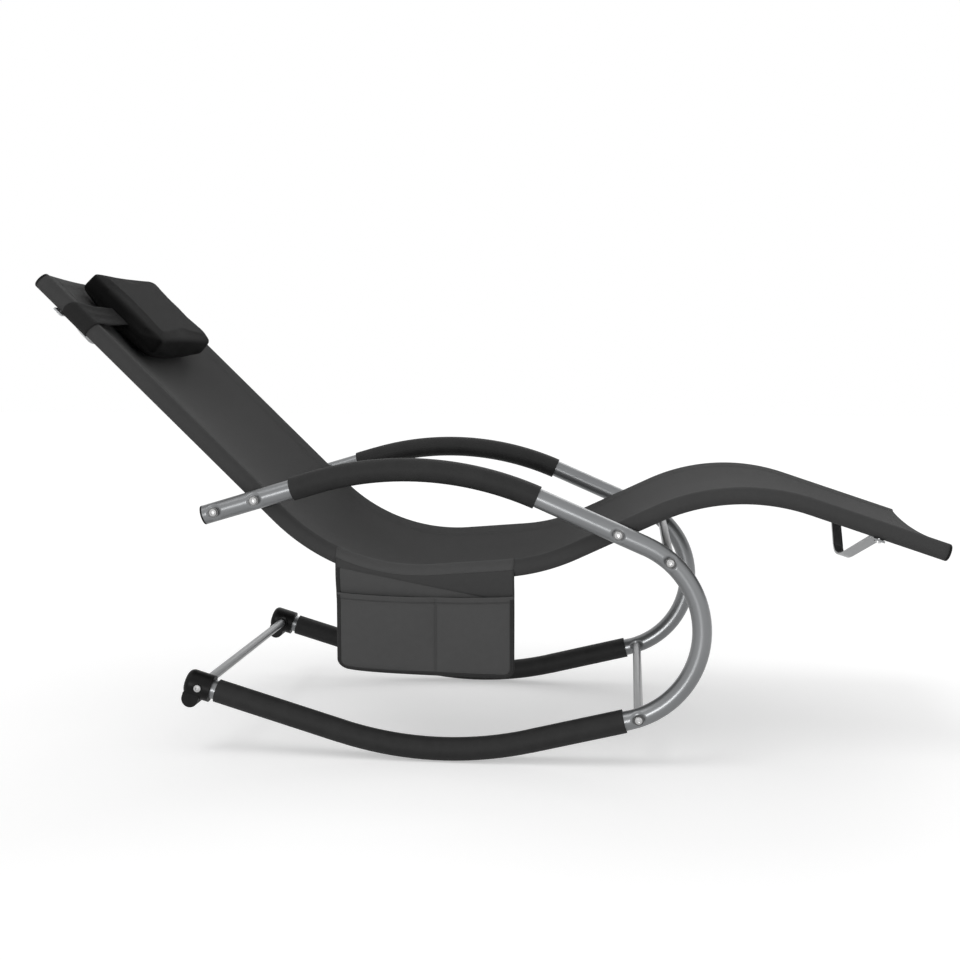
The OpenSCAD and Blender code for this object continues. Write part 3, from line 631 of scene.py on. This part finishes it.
def rows_along(step, bend_step):
    """Places along the sling, in steps that fit each straight and each bend of the rail."""
    out = [SLING_FROM]
    for i, piece in enumerate(RAIL):
        low, high = max(SLING_FROM, REACH[i]), min(SLING_TO, REACH[i + 1])
        n = max(1, math.ceil((high - low) / (step if piece[1] == 0 else bend_step)))
        out += [low + (high - low) * k / n for k in range(1, n + 1)]
    return out


def sling_grid():
    rows, uvs = [], []
    for s in rows_along(ROW_STEP, BEND_STEP):
        profile = sling_profile(s)
        across = distances(profile)
        rows.append([sheet_point(s, y, n) for y, n in profile])
        uvs.append([((a - across[-1] / 2) * MM, s * MM) for a in across])
    return rows, uvs


# The hem is cut open within this radius of each joint, where it lies farther out than this y
HOLE_R = 11.6
HOLE_Y = RAIL_Y + 3


def from_centre(v, centre):
    """From a joint's centre to a vertex, in x and z."""
    return Vector((v.co.x, v.co.z)) - centre


def open_at_joints(mesh):
    """The hem is cut open round each joint's spacer."""
    bm = bmesh.new()
    bm.from_mesh(mesh)
    for joint in (BACK_JOINT, SEAT_JOINT):
        centre = Vector(joint) * MM
        outer = [f for f in bm.faces if all(abs(v.co.y) > HOLE_Y * MM for v in f.verts)]
        gone = [f for f in outer
                if sum(from_centre(v, centre).length for v in f.verts) / len(f.verts) < HOLE_R * MM]
        rim = {v for f in gone for v in f.verts}
        bmesh.ops.delete(bm, geom=gone, context="FACES")
        for v in rim:
            if v.is_valid and v.link_faces:
                d = from_centre(v, centre).normalized() * HOLE_R * MM
                v.co.x, v.co.z = centre.x + d.x, centre.y + d.y
    bm.to_mesh(mesh)
    bm.free()


sling_rows, sling_uvs = sling_grid()
sling = add_sheet("sling_cloth", sling_rows, sling_uvs, SLING, CLOTH_T)
open_at_joints(sling.data)
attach(sling, "frame")
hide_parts("sling_panel", "right_sling_hem", "left_sling_hem")

# Two rows of stitches along each hem, this far from the seam's middle, and two across each end
HEM_SEAM_OFF = 3.5
END_SEAMS = (SLING_FROM + 14, SLING_FROM + 19, SLING_TO - 19, SLING_TO - 14)
END_SEAM_HALF, END_SEAM_POINTS = 222, 60
SEAM_LIFT = 0.1


def on_web(s, y):
    """A place for thread on the sling's sheet, and the direction out of the sheet."""
    n = web_n(s, y) + ripple(s, y) + CLOTH_T / 2 + SEAM_LIFT
    return sheet_point(s, y, n), square_up(s)


hem_ys = [side * (RAIL_Y - SEWN_IN + off) for side in (-1, 1) for off in (HEM_SEAM_OFF, -HEM_SEAM_OFF)]
hem_places = rows_along(ROW_STEP, ROW_STEP)
end_ys = np.linspace(-END_SEAM_HALF, END_SEAM_HALF, END_SEAM_POINTS)
sling_seams = stitches("sling_stitching", [[on_web(s, y) for s in hem_places] for y in hem_ys])
end_seams = stitches("sling_end_stitching", [[on_web(s, y) for y in end_ys] for s in END_SEAMS])
for o in (sling_seams, end_seams):
    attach(o, "frame")


# The head cushion: place of its middle along the rail, length along the backrest and width
CUSHION_AT, CUSHION_L, CUSHION_W = 107, 176, 284
# Heights over the rail's centre line of the cushion's seam and, over the seam, of its top's middle and edge
SEAM_N, CROWN, EDGE_CROWN = 26, 27, 24
# Lower edge of the cushion's sides, which the tight strap holds up above the sling
SIDE_LOW = 15
# How much the long and the short sides pull in between the corners, as a share of the half size
LONG_PULL, SHORT_PULL = 0.015, 0.02
# Gap to the sling before the cover is blown up, the least gap after it, and the most rise past the crown
REST_GAP, LEAST_GAP, MOST_RISE = 1.2, 0.5, 2
# Radius of the corners seen from above, as a share of half the length
PLAN_CORNER = 0.06
PAD_GRID = (20, 34, 6)
VOXEL = 5 * MM
BACK_X, BACK_Z, BACK_TURN = on_rail(CUSHION_AT)


def swell(u, v, fullness, power):
    """One in the middle of a pad and zero at its edges. More fullness keeps it high nearer to them."""
    return (max(0, 1 - abs(u) ** fullness) * max(0, 1 - abs(v) ** fullness)) ** power


def cushion_form(u, v, w):
    """A boxed pad: u along the backrest, v across it and w up from the sling, each from -1 to 1."""
    x = CUSHION_L / 2 * u * (1 - LONG_PULL * (1 - v * v))
    y = CUSHION_W / 2 * v * (1 - SHORT_PULL * (1 - u * u))
    low = web_n(CUSHION_AT + x, y) + CLOTH_T / 2 + REST_GAP
    top = SEAM_N + EDGE_CROWN + (CROWN - EDGE_CROWN) * swell(u, v, 6, 1 / 3)
    bottom = SIDE_LOW + (low - SIDE_LOW) * swell(u, v, 3, 1 / 2)
    return sheet_point(CUSHION_AT + x, y, bottom + (top - bottom) * (w + 1) / 2)


def box_grid(nu, nv, nw):
    """A closed box of a grid, as points in -1..1 and faces."""
    index, points = {}, []

    def at(i, j, k):
        key = (i, j, k)
        if key not in index:
            index[key] = len(points)
            points.append((2 * i / nu - 1, 2 * j / nv - 1, 2 * k / nw - 1))
        return index[key]

    faces = []
    for i in range(nu):
        for j in range(nv):
            faces.append((at(i, j, 0), at(i, j + 1, 0), at(i + 1, j + 1, 0), at(i + 1, j, 0)))
            faces.append((at(i, j, nw), at(i + 1, j, nw), at(i + 1, j + 1, nw), at(i, j + 1, nw)))
    for i in range(nu):
        for k in range(nw):
            faces.append((at(i, 0, k), at(i + 1, 0, k), at(i + 1, 0, k + 1), at(i, 0, k + 1)))
            faces.append((at(i, nv, k), at(i, nv, k + 1), at(i + 1, nv, k + 1), at(i + 1, nv, k)))
    for j in range(nv):
        for k in range(nw):
            faces.append((at(0, j, k), at(0, j, k + 1), at(0, j + 1, k + 1), at(0, j + 1, k)))
            faces.append((at(nu, j, k), at(nu, j + 1, k), at(nu, j + 1, k + 1), at(nu, j, k + 1)))
    return points, faces


def rounded(u, v, w):
    """Rounds the plan corners of the box a little."""
    wide = CUSHION_W / CUSHION_L
    a, b = abs(u), abs(v) * wide
    da, db = a - (1 - PLAN_CORNER), b - (wide - PLAN_CORNER)
    d = math.hypot(da, db)
    if da > 0 and db > 0 and d > PLAN_CORNER:
        a, b = 1 - PLAN_CORNER + da * PLAN_CORNER / d, wide - PLAN_CORNER + db * PLAN_CORNER / d
    return math.copysign(a, u), math.copysign(b / wide, v), w


def apply_modifier(o, kind, **settings):
    mod = o.modifiers.new(kind.lower(), kind)
    for key, value in settings.items():
        setattr(mod, key, value)
    bpy.context.view_layer.objects.active = o
    bpy.ops.object.modifier_apply(modifier=mod.name)


PUFF_PRESSURE, PUFF_FRAMES = 4, 20
# The most that blowing up moves a point of the cover
PUFF_CAP = 4 * MM


def point_array(o):
    return np.array([v.co for v in o.data.vertices], float)


def puff(o):
    """Blows the cover up a little as cloth, and keeps each point near to where it was."""
    before = point_array(o)
    cloth = o.modifiers.new("cloth", "CLOTH")
    c = cloth.settings
    c.quality = 6
    c.mass = 0.3
    c.tension_stiffness = c.compression_stiffness = 20
    c.shear_stiffness = 10
    c.bending_stiffness = 2
    c.use_pressure = True
    c.uniform_pressure_force = PUFF_PRESSURE
    c.effector_weights.gravity = 0
    scene = bpy.context.scene
    scene.frame_start, scene.frame_end = 1, PUFF_FRAMES
    for f in range(1, PUFF_FRAMES + 1):
        scene.frame_set(f)
    bpy.context.view_layer.objects.active = o
    bpy.ops.object.modifier_apply(modifier=cloth.name)
    scene.frame_set(1)
    move = point_array(o) - before
    size = np.linalg.norm(move, axis=1, keepdims=True)
    after = before + move * np.minimum(1, PUFF_CAP / np.maximum(size, TINY))
    o.data.vertices.foreach_set("co", after.astype(np.float32).ravel())
    o.data.update()


def on_backrest(p):
    """A point in metres as (along, across, up) from the middle of the cushion's place on the backrest."""
    d = Vector(p) / MM - Vector((BACK_X, 0, BACK_Z))
    c, s = math.cos(rad(BACK_TURN)), math.sin(rad(BACK_TURN))
    return d.x * c + d.z * s, d.y, -d.x * s + d.z * c


def seat_on_sling(mesh):
    """Nothing of the cushion reaches into the sling or past its own solid's reach."""
    for v in mesh.vertices:
        a, y, n = on_backrest(v.co)
        low = web_n(CUSHION_AT + a, y) + CLOTH_T / 2 + LEAST_GAP
        kept_n = min(max(n, low), SEAM_N + CROWN + MOST_RISE)
        kept_y = min(max(y, -CUSHION_W / 2), CUSHION_W / 2)
        if kept_n != n or kept_y != y:
            v.co = sheet_point(CUSHION_AT + a, kept_y, kept_n)


def cushion_pad():
    points, faces = box_grid(*PAD_GRID)
    mesh = bpy.data.meshes.new("cushion_pad")
    mesh.from_pydata([cushion_form(*rounded(*p)) for p in points], [], faces)
    mesh.update()
    o = add_object("cushion_pad", mesh)
    o.select_set(True)
    apply_modifier(o, "REMESH", mode="VOXEL", voxel_size=VOXEL)
    apply_modifier(o, "SMOOTH", factor=0.5, iterations=2)
    puff(o)
    apply_modifier(o, "SMOOTH", factor=0.5, iterations=4)
    apply_modifier(o, "SUBSURF", levels=1, render_levels=1)
    seat_on_sling(o.data)
    o.data.polygons.foreach_set("use_smooth", [True] * len(o.data.polygons))
    o.data.materials.append(CUSHION)
    return o


pad = cushion_pad()
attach(pad, "head_cushion")
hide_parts("head_cushion")


# The cushion's strap goes once round the sling
BAND_T, BAND_GAP = 1.0, 0.7
BAND_R = HEM_R + BAND_GAP + BAND_T / 2
# The strap's start at the cushion, as (y, n), and how far it droops on its way to the rail
BAND_START = (CUSHION_W / 2 - 6, 24)
BAND_DROOP = 1
# Under the sling it is flat within this share of the way to the rail, and this far below the web
BAND_FLAT_SHARE, BAND_BELOW = 0.45, 2.6
# Its edges along the rail, by the share of the way from the cushion to the middle of the back
BAND_EDGES = ((0.0, 86, 127), (0.14, 80, 125), (0.26, 68, 120), (0.33, 62, 119), (0.40, 68, 118),
              (0.46, 74, 115), (0.54, 77, 113), (1.0, 78, 112))
# Middle of its weave along the rail, and its width when flat
BAND_MIDDLE, BAND_FLAT_W = 95, 45
BAND_COLS = 14
# Lengthwise folds of the strap: height, number of half waves, start of the first one in radians, and the
# share of the way where they are highest
FOLD_RISE, FOLD_WAVES, FOLD_START, FOLD_AT = 0.9, 5, 0.6, 0.16


def band_centre():
    """The strap's line from the cushion's left end round the rail and in under the sling, as (y, n)."""
    start_y, start_n = BAND_START[0] - RAIL_Y, BAND_START[1]
    leave = touching(start_y, start_n, BAND_R)
    touch_y, touch_n = BAND_R * math.cos(leave), BAND_R * math.sin(leave)
    line = []
    for t in np.linspace(0, 1, 12, endpoint=False):
        droop = BAND_DROOP * math.sin(math.pi * t)
        line.append((RAIL_Y + start_y + (touch_y - start_y) * t, start_n + (touch_n - start_n) * t - droop))
    for a in np.linspace(leave, -math.pi / 2, 19):
        line.append((RAIL_Y + BAND_R * math.cos(a), BAND_R * math.sin(a)))
    flat_y, flat_n = RAIL_Y * BAND_FLAT_SHARE, EDGE_N - BACK_SAG - BAND_BELOW
    for t in np.linspace(0, 1, 9)[1:]:
        line.append((RAIL_Y + (flat_y - RAIL_Y) * t, -BAND_R + (flat_n + BAND_R) * t))
    for t in np.linspace(0, 1, 6)[1:]:
        line.append((flat_y * (1 - t), flat_n))
    return line


def band_edges(share):
    """(from, to) along the rail, by the share of the way from the cushion to the middle."""
    for (a, low, high), (b, next_low, next_high) in zip(BAND_EDGES, BAND_EDGES[1:]):
        if share <= b:
            t = smooth_step((share - a) / (b - a))
            return low + (next_low - low) * t, high + (next_high - high) * t
    return BAND_EDGES[-1][1:]


def band_side(side):
    """One half of the strap, from the cushion to the middle of the back."""
    line = band_centre()
    reach = distances(line)
    rows, uvs = [], []
    for (y, n), d in zip(line, reach):
        share = d / reach[-1]
        low, high = band_edges(share)
        rise = FOLD_RISE * max(0, 1 - abs(share - FOLD_AT) / FOLD_AT)
        row, uv = [], []
        for t in np.linspace(0, 1, BAND_COLS + 1):
            s = low + (high - low) * t
            fold = rise * math.sin(t * FOLD_WAVES * math.pi + FOLD_START)
            row.append(sheet_point(s, side * y, n + fold))
            uv.append(((s - BAND_MIDDLE) * MM, d * MM))
        rows.append(row)
        uvs.append(uv)
    return rows, uvs


right_rows, right_uvs = band_side(-1)
left_rows, left_uvs = band_side(1)
band_length = 2 * right_uvs[-1][0][1]
band_uvs = right_uvs + [[(u, band_length - v) for u, v in row] for row in left_uvs[::-1][1:]]
band = add_sheet("cushion_strap", right_rows + left_rows[::-1][1:], band_uvs, BAND, BAND_T)
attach(band, "head_cushion")
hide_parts("cushion_band")


# The side bag, which hangs on the right rail
BAG_X, BAG_HALF = -93.854, 150.0
# The fold under the header, the bag's height below it and its back's distance from the chair's middle
FOLD_Z, BAG_H, BACK_Y = 289.578, 154.0, 250.879
BAG_LOW = FOLD_Z - BAG_H
BAG_REAR, BAG_FRONT = BAG_X - BAG_HALF, BAG_X + BAG_HALF
# Radius of its lower corners
CORNER = 17.0
# The seam between the rear and the front pocket
SPLIT_X = -75.854
SKIN = 0.9
BAG_COLS, POCKET_COLS = 50, 100
# The header lies this far off the rail's hem and goes over it by this angle. It hangs down as the back sheet
HEADER_GAP, HEADER_ANGLE = 0.25, 110
HEADER_R = HEM_R + HEADER_GAP + SKIN / 2
# The bag's part of the rail lies between these, by distance along it
BAG_RAIL_FROM, BAG_RAIL_TO = 600, 1100
# Added to the height in the flat coordinates of some layers, so that no two layers' threads line up
BACK_SHIFT, LIP_SHIFT = 60, 300


def rail_z(x):
    """Height of the rail's centre line at x."""

    def is_behind(s):
        return on_rail(s)[0] < x

    return on_rail(turning_point(is_behind, BAG_RAIL_FROM, BAG_RAIL_TO))[1]


def bag_half_at(z):
    """Half width of the bag at a height, with its rounded lower corners."""
    rise = z - BAG_LOW
    if rise < CORNER:
        return BAG_HALF - CORNER + math.sqrt(max(0, CORNER ** 2 - (CORNER - rise) ** 2))
    return BAG_HALF


# How far above the fold the back sheet starts to turn in and to wave, and over what height these set in
TURN_ABOVE, TURN_OVER = 22, 60
WAVE_ABOVE, WAVE_OVER = 10, 40


def back_sheet_y(x, z):
    """How far out the bag's back sheet lies below the rail."""
    down, by_rail = FOLD_Z - z, RAIL_Y + HEADER_R
    turned = smooth_step(clamp((down + TURN_ABOVE) / TURN_OVER))
    wave = drift(x / 60, z / 70, 5.2, 0.8) * clamp((down + WAVE_ABOVE) / WAVE_OVER)
    return by_rail + (BACK_Y - by_rail) * turned + wave


def share_across(x):
    """Share of the bag's width that lies behind x."""
    return (x - BAG_REAR) / (2 * BAG_HALF)


ARC_STEPS, HANG_STEPS = 14, 30


def back_place(row, across):
    share = 2 * across - 1
    x = BAG_X + BAG_HALF * share
    top = rail_z(x)
    if row <= ARC_STEPS:
        a = rad(HEADER_ANGLE * (1 - row / ARC_STEPS))
        y = RAIL_Y + HEADER_R * math.cos(a)
        return (x, -y, top + HEADER_R * math.sin(a)), (x, top + BACK_SHIFT + a * HEADER_R)
    z = top + (BAG_LOW - top) * (row - ARC_STEPS) / HANG_STEPS
    x = BAG_X + bag_half_at(z) * share
    return (x, -back_sheet_y(x, z), z), (x, z + BACK_SHIFT)


bag_back = surface("bag_back_sheet", ARC_STEPS + HANG_STEPS + 1, BAG_COLS, back_place, BAG, SKIN)


def arch(t, power):
    """A sine arch over t from 0 to 1. A power under one makes its top flatter."""
    return max(0, math.sin(math.pi * t)) ** power


# The mouth's height below the fold, its droop between the ends and its slope down to the front
MOUTH_DOWN, MOUTH_DROOP, MOUTH_SLOPE = 12.5, 5.0, 1.5


def mouth_z(x):
    """The pocket's mouth droops between its ends."""
    t = clamp(share_across(x))
    return FOLD_Z - MOUTH_DOWN - MOUTH_DROOP * arch(t, 0.8) - MOUTH_SLOPE * t


# How far the front stands out at the seams, and how much more in the middle of the rear and front pockets
SEAM_OUT, REAR_FULL, FRONT_FULL = 1.6, 9.0, 8.0
# The least share of the fullness down the front, how far into its arch the mouth lies, and the share of the
# height over which it closes at the bottom
LEAST_FULL, MOUTH_START, CLOSING = 0.34, 0.12, 0.09


def bulge(x, z):
    """How far the pockets' front stands out from the back sheet."""
    top = mouth_z(x)
    v = clamp((top - z) / (top - BAG_LOW))
    if x < SPLIT_X:
        full, u = REAR_FULL, (x - BAG_REAR) / (SPLIT_X - BAG_REAR)
    else:
        full, u = FRONT_FULL, (x - SPLIT_X) / (BAG_FRONT - SPLIT_X)
    across = arch(clamp(u), 0.55)
    down = LEAST_FULL + (1 - LEAST_FULL) * arch(MOUTH_START + (1 - MOUTH_START) * v, 0.8)
    slack = drift(x / 46, z / 52, 1.7, 1.0) + drift(x / 19, z / 26, 6.1, 0.5)
    return SEAM_OUT + (full * down + slack) * across * clamp((1 - v) / CLOSING) ** 0.5


def front_y(x, z):
    return back_sheet_y(x, z) + SKIN + bulge(x, z)


# The front ends this far inside the back sheet's edges
EDGE_IN = 0.4
FRONT_STEPS = 34


def front_place(row, across):
    share = 2 * across - 1
    top = mouth_z(BAG_X + (BAG_HALF - EDGE_IN) * share)
    z = top + (BAG_LOW + EDGE_IN - top) * row / FRONT_STEPS
    x = BAG_X + (bag_half_at(z) - EDGE_IN) * share
    return (x, -front_y(x, z), z), (x, z)


bag_front = surface("bag_front_sheet", FRONT_STEPS + 1, POCKET_COLS, front_place, BAG, SKIN)

# The mouth's lip is its hem, a second layer folded over the front
LIP_W, LIP_T, LIP_STEPS = 11, 0.5, 4
# How far its middle lies outside the front's at the mouth and at its lower edge
LIP_OUT_HIGH, LIP_OUT_LOW = SKIN * 0.8, SKIN * 0.5


def lip_place(row, across):
    x = BAG_X + (BAG_HALF - EDGE_IN) * (2 * across - 1)
    z = mouth_z(x) + EDGE_IN - LIP_W * row / LIP_STEPS
    y = front_y(x, z) + LIP_OUT_HIGH + (LIP_OUT_LOW - LIP_OUT_HIGH) * row / LIP_STEPS
    return (x, -y, z), (x, z + LIP_SHIFT)


bag_hem = surface("bag_mouth_hem", LIP_STEPS + 1, POCKET_COLS, lip_place, BAG, LIP_T)

# The slanted flap is the header's outer layer, sewn down along its lower edge
FLAP_T, FLAP_STEPS, FLAP_OUT = 0.8, 16, SKIN * 0.95
# Where the slant ends, as a share of the bag's width, and the heights of the slanted edge at its two ends
FLAP_END = 0.86
FLAP_HIGH = rail_z(BAG_REAR) - HEM_R - 3
FLAP_LOW = mouth_z(BAG_X + 0.72 * BAG_HALF) - 2


def flap_z(x):
    return FLAP_HIGH + (FLAP_LOW - FLAP_HIGH) * min(1, share_across(x) / FLAP_END)


def flap_place(row, across):
    x = BAG_X + BAG_HALF * (2 * across - 1)
    top = rail_z(x) - 1
    z = top + (flap_z(x) - top) * row / FLAP_STEPS
    return (x, -back_sheet_y(x, z) - FLAP_OUT, z), (x, z + BACK_SHIFT)


flap = surface("bag_header_flap", FLAP_STEPS + 1, BAG_COLS, flap_place, SLING, FLAP_T)

# The binding's section, as (how far in from the bag's edge, share of the way from its back to its front)
TAPE_W, TAPE_T = 6.5, 0.6
TAPE_SECTION = ((TAPE_W, 0), (TAPE_W / 2, 0), (0.6, 0), (-0.55, 0.5), (0.6, 1), (TAPE_W / 2, 1), (TAPE_W, 1))
# How far the binding's middle lies outside the middles of the bag's sheets
TAPE_OFF = SKIN / 2 + 0.45
# Length of the weave between two points of the section
TAPE_STEP = 3
# How far below the rail's centre the binding ends
TAPE_DOWN = 6


def tape_path():
    """The bag's edge down from the rail, round the bottom and up again, as (x, z, outward)."""
    flat = BAG_HALF - CORNER
    bend_z = BAG_LOW + CORNER

    def upright(side):
        x = BAG_X + side * BAG_HALF
        return [(x, z, (side, 0)) for z in np.linspace(bend_z, rail_z(x) - TAPE_DOWN, 22)]

    def corner(side):
        angles = np.linspace(0, math.pi / 2, 10)[1:-1]
        outward = [(side * math.cos(a), -math.sin(a)) for a in angles]
        return [(BAG_X + side * flat + CORNER * nx, bend_z + CORNER * nz, (nx, nz)) for nx, nz in outward]

    bottom = [(x, BAG_LOW, (0, -1)) for x in np.linspace(BAG_X - flat, BAG_X + flat, 41)]
    return upright(-1)[::-1] + corner(-1) + bottom + corner(1)[::-1] + upright(1)


def tape_row(x, z, outward):
    row = []
    for inward, share in TAPE_SECTION:
        px, pz = x - outward[0] * inward, z - outward[1] * inward
        back = back_sheet_y(px, pz)
        front = front_y(px, pz) if pz < mouth_z(px) else back
        y = back - TAPE_OFF + (front - back + 2 * TAPE_OFF) * share
        row.append(Vector((px, -y, pz)) * MM)
    return row


edge_path = tape_path()
edge_reach = distances([(x, z) for x, z, _ in edge_path])
tape_uvs = [[(k * TAPE_STEP * MM, d * MM) for k in range(len(TAPE_SECTION))] for d in edge_reach]
tape = add_sheet("bag_binding", [tape_row(*p) for p in edge_path], tape_uvs, TAPE, TAPE_T)


# How far the bag's thread lies off the front's skin at the split, lip and binding, and off the back's middle
SPLIT_LIFT, LIP_LIFT, TAPE_LIFT = 0.35, 1.0, 0.85
FLAP_LIFT = SKIN * 1.35 + 0.2
# Two seams this far from the split, one this far below the mouth, one this far above the flap's edge, and
# two this far in from the bag's edge
SPLIT_OFF, MOUTH_SEAM, FLAP_SEAM = 1.6, 8.6, 2.2
EDGE_SEAMS = (2.0, 5.2)
# The lip's and the flap's seams end this far in, and the flap's seam at this share of the bag's width
SIDE_IN = 7
FLAP_SEAM_TO = 0.84


def on_pocket(x, z, lift):
    """A place for thread on the pockets' front, and the direction out of it."""
    return Vector((x, -front_y(x, z) - SKIN / 2 - lift, z)) * MM, (0, -1, 0)


def on_flap(x, z):
    return Vector((x, -back_sheet_y(x, z) - FLAP_LIFT, z)) * MM, (0, -1, 0)


split_zs = np.linspace(mouth_z(SPLIT_X) - 1, BAG_LOW + 2, 31)
lip_xs = np.linspace(BAG_REAR + SIDE_IN, BAG_FRONT - SIDE_IN, 61)
flap_xs = np.linspace(BAG_REAR + SIDE_IN, BAG_REAR + 2 * BAG_HALF * FLAP_SEAM_TO - SIDE_IN, 61)
seam_lines = [[on_pocket(SPLIT_X + off, z, SPLIT_LIFT) for z in split_zs] for off in (-SPLIT_OFF, SPLIT_OFF)]
seam_lines.append([on_pocket(x, mouth_z(x) - MOUTH_SEAM, LIP_LIFT) for x in lip_xs])
bag_stitching = stitches("bag_stitching", seam_lines)
flap_stitching = stitches("bag_flap_stitching", [[on_flap(x, flap_z(x) + FLAP_SEAM) for x in flap_xs]])
below_mouth = [p for p in edge_path if p[1] < mouth_z(p[0]) - 2]
edge_lines = [[on_pocket(x - nx * inward, z - nz * inward, TAPE_LIFT) for x, z, (nx, nz) in below_mouth]
              for inward in EDGE_SEAMS]
edge_stitching = stitches("bag_edge_stitching", edge_lines)

# How much the bag's bottom rises to the rear, and at its rear corner, and how far that corner reaches
SLOPE_RISE, CORNER_RISE, CORNER_REACH = 7, 7, 22


def hang(o):
    """The bag's lower edge rises a little towards its rear corner, which is the rounder one."""
    for v in o.data.vertices:
        down = clamp((FOLD_Z - v.co.z / MM) / BAG_H)
        ahead = max(0, v.co.x / MM - BAG_REAR)
        slope = SLOPE_RISE * max(0, 1 - ahead / (2 * BAG_HALF)) ** 1.5 * down ** 2
        v.co.z += (slope + CORNER_RISE * math.exp(-ahead / CORNER_REACH) * down ** 6) * MM


for o in (bag_back, flap, tape, flap_stitching, bag_front, bag_hem, bag_stitching, edge_stitching):
    hang(o)
for o in (bag_back, flap, tape, flap_stitching):
    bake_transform(o)
for o in (bag_front, bag_hem, bag_stitching, edge_stitching):
    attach(o, "side_bag")
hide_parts("bag_back_panel", "bag_header")
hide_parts("bag_pockets")
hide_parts("bag_edge_tape")


# Floor, light and camera, in metres
FLOOR_HALF = 12.0
FLOOR_TONE, FLOOR_GLOW = 0.8, 0.37
# Strength of the white world as a light, and as the background that the camera sees
WORLD_LIGHT, WORLD_SEEN = 0.62, 1.0


def seen_directly(tree):
    """One where the camera sees a surface, itself or in a glossy or clear one, and otherwise zero."""
    path = add_node(tree, "ShaderNodeLightPath", {})
    seen = add_math(tree, "MAXIMUM", path["Is Camera Ray"], path["Is Glossy Ray"])
    return add_math(tree, "MAXIMUM", seen, path["Is Transmission Ray"])


def empty_tree(owner):
    owner.use_nodes = True
    owner.node_tree.nodes.clear()
    return owner.node_tree


def stage_floor():
    """A pale floor that glows where it is seen directly, so that it is nearly as white as the world."""
    mesh = bpy.data.meshes.new("floor")
    corners = [(x * FLOOR_HALF, y * FLOOR_HALF, 0) for x, y in ((-1, -1), (1, -1), (1, 1), (-1, 1))]
    mesh.from_pydata(corners, [], [(0, 1, 2, 3)])
    mat = bpy.data.materials.new("floor")
    tree = empty_tree(mat)
    matte = add_node(tree, "ShaderNodeBsdfDiffuse", {"Color": (FLOOR_TONE, FLOOR_TONE, FLOOR_TONE, 1)})[0]
    level = add_math(tree, "MULTIPLY", seen_directly(tree), FLOOR_GLOW)
    glow = add_node(tree, "ShaderNodeEmission", {"Strength": level})[0]
    both = add_node(tree, "ShaderNodeAddShader", {0: matte, 1: glow})[0]
    add_node(tree, "ShaderNodeOutputMaterial", {"Surface": both})
    add_object("floor", mesh, mat, smooth=False)


def white_world():
    world = bpy.data.worlds.new("studio")
    bpy.context.scene.world = world
    tree = empty_tree(world)
    values = {"Value": seen_directly(tree), "To Min": WORLD_LIGHT, "To Max": WORLD_SEEN}
    level = add_node(tree, "ShaderNodeMapRange", values)["Result"]
    sky = add_node(tree, "ShaderNodeBackground", {"Color": (1, 1, 1, 1), "Strength": level})[0]
    add_node(tree, "ShaderNodeOutputWorld", {"Surface": sky})


def sun(name, place, spread, strength):
    """A wide, even light from the side of the given place."""
    data = bpy.data.lights.new(name, "SUN")
    data.angle = rad(spread)
    data.energy = strength
    o = bpy.data.objects.new(name, data)
    bpy.context.scene.collection.objects.link(o)
    o.location = place
    o.rotation_euler = (-Vector(place)).to_track_quat("-Z", "Y").to_euler()


stage_floor()
white_world()
sun("key", (-1.2, -1.2, 3.2), 26, 0.45)
sun("front", (-0.45, -3.0, 0.2), 11, 1.05)
sun("fill", (2.2, -2.6, 1.6), 40, 0.15)
sun("rim", (0.6, 2.8, 2.2), 30, 0.4)

# The camera that was fitted to the photo. It looks down a little and turns a little to the left
CAMERA_PLACE = (0.2427, -2.456, 0.6802)
LOOK_DOWN, LOOK_LEFT = 5.44, 6.31
SENSOR_W, LENS = 36, 50.4
camera = bpy.data.objects.new("camera", bpy.data.cameras.new("camera"))
bpy.context.scene.collection.objects.link(camera)
camera.data.sensor_width = SENSOR_W
camera.data.lens = LENS
camera.data.clip_start, camera.data.clip_end = 0.05, 60
camera.location = CAMERA_PLACE
camera.rotation_euler = (rad(90 - LOOK_DOWN), 0, rad(LOOK_LEFT))
bpy.context.scene.camera = camera
bpy.context.scene.view_settings.view_transform = "Standard"
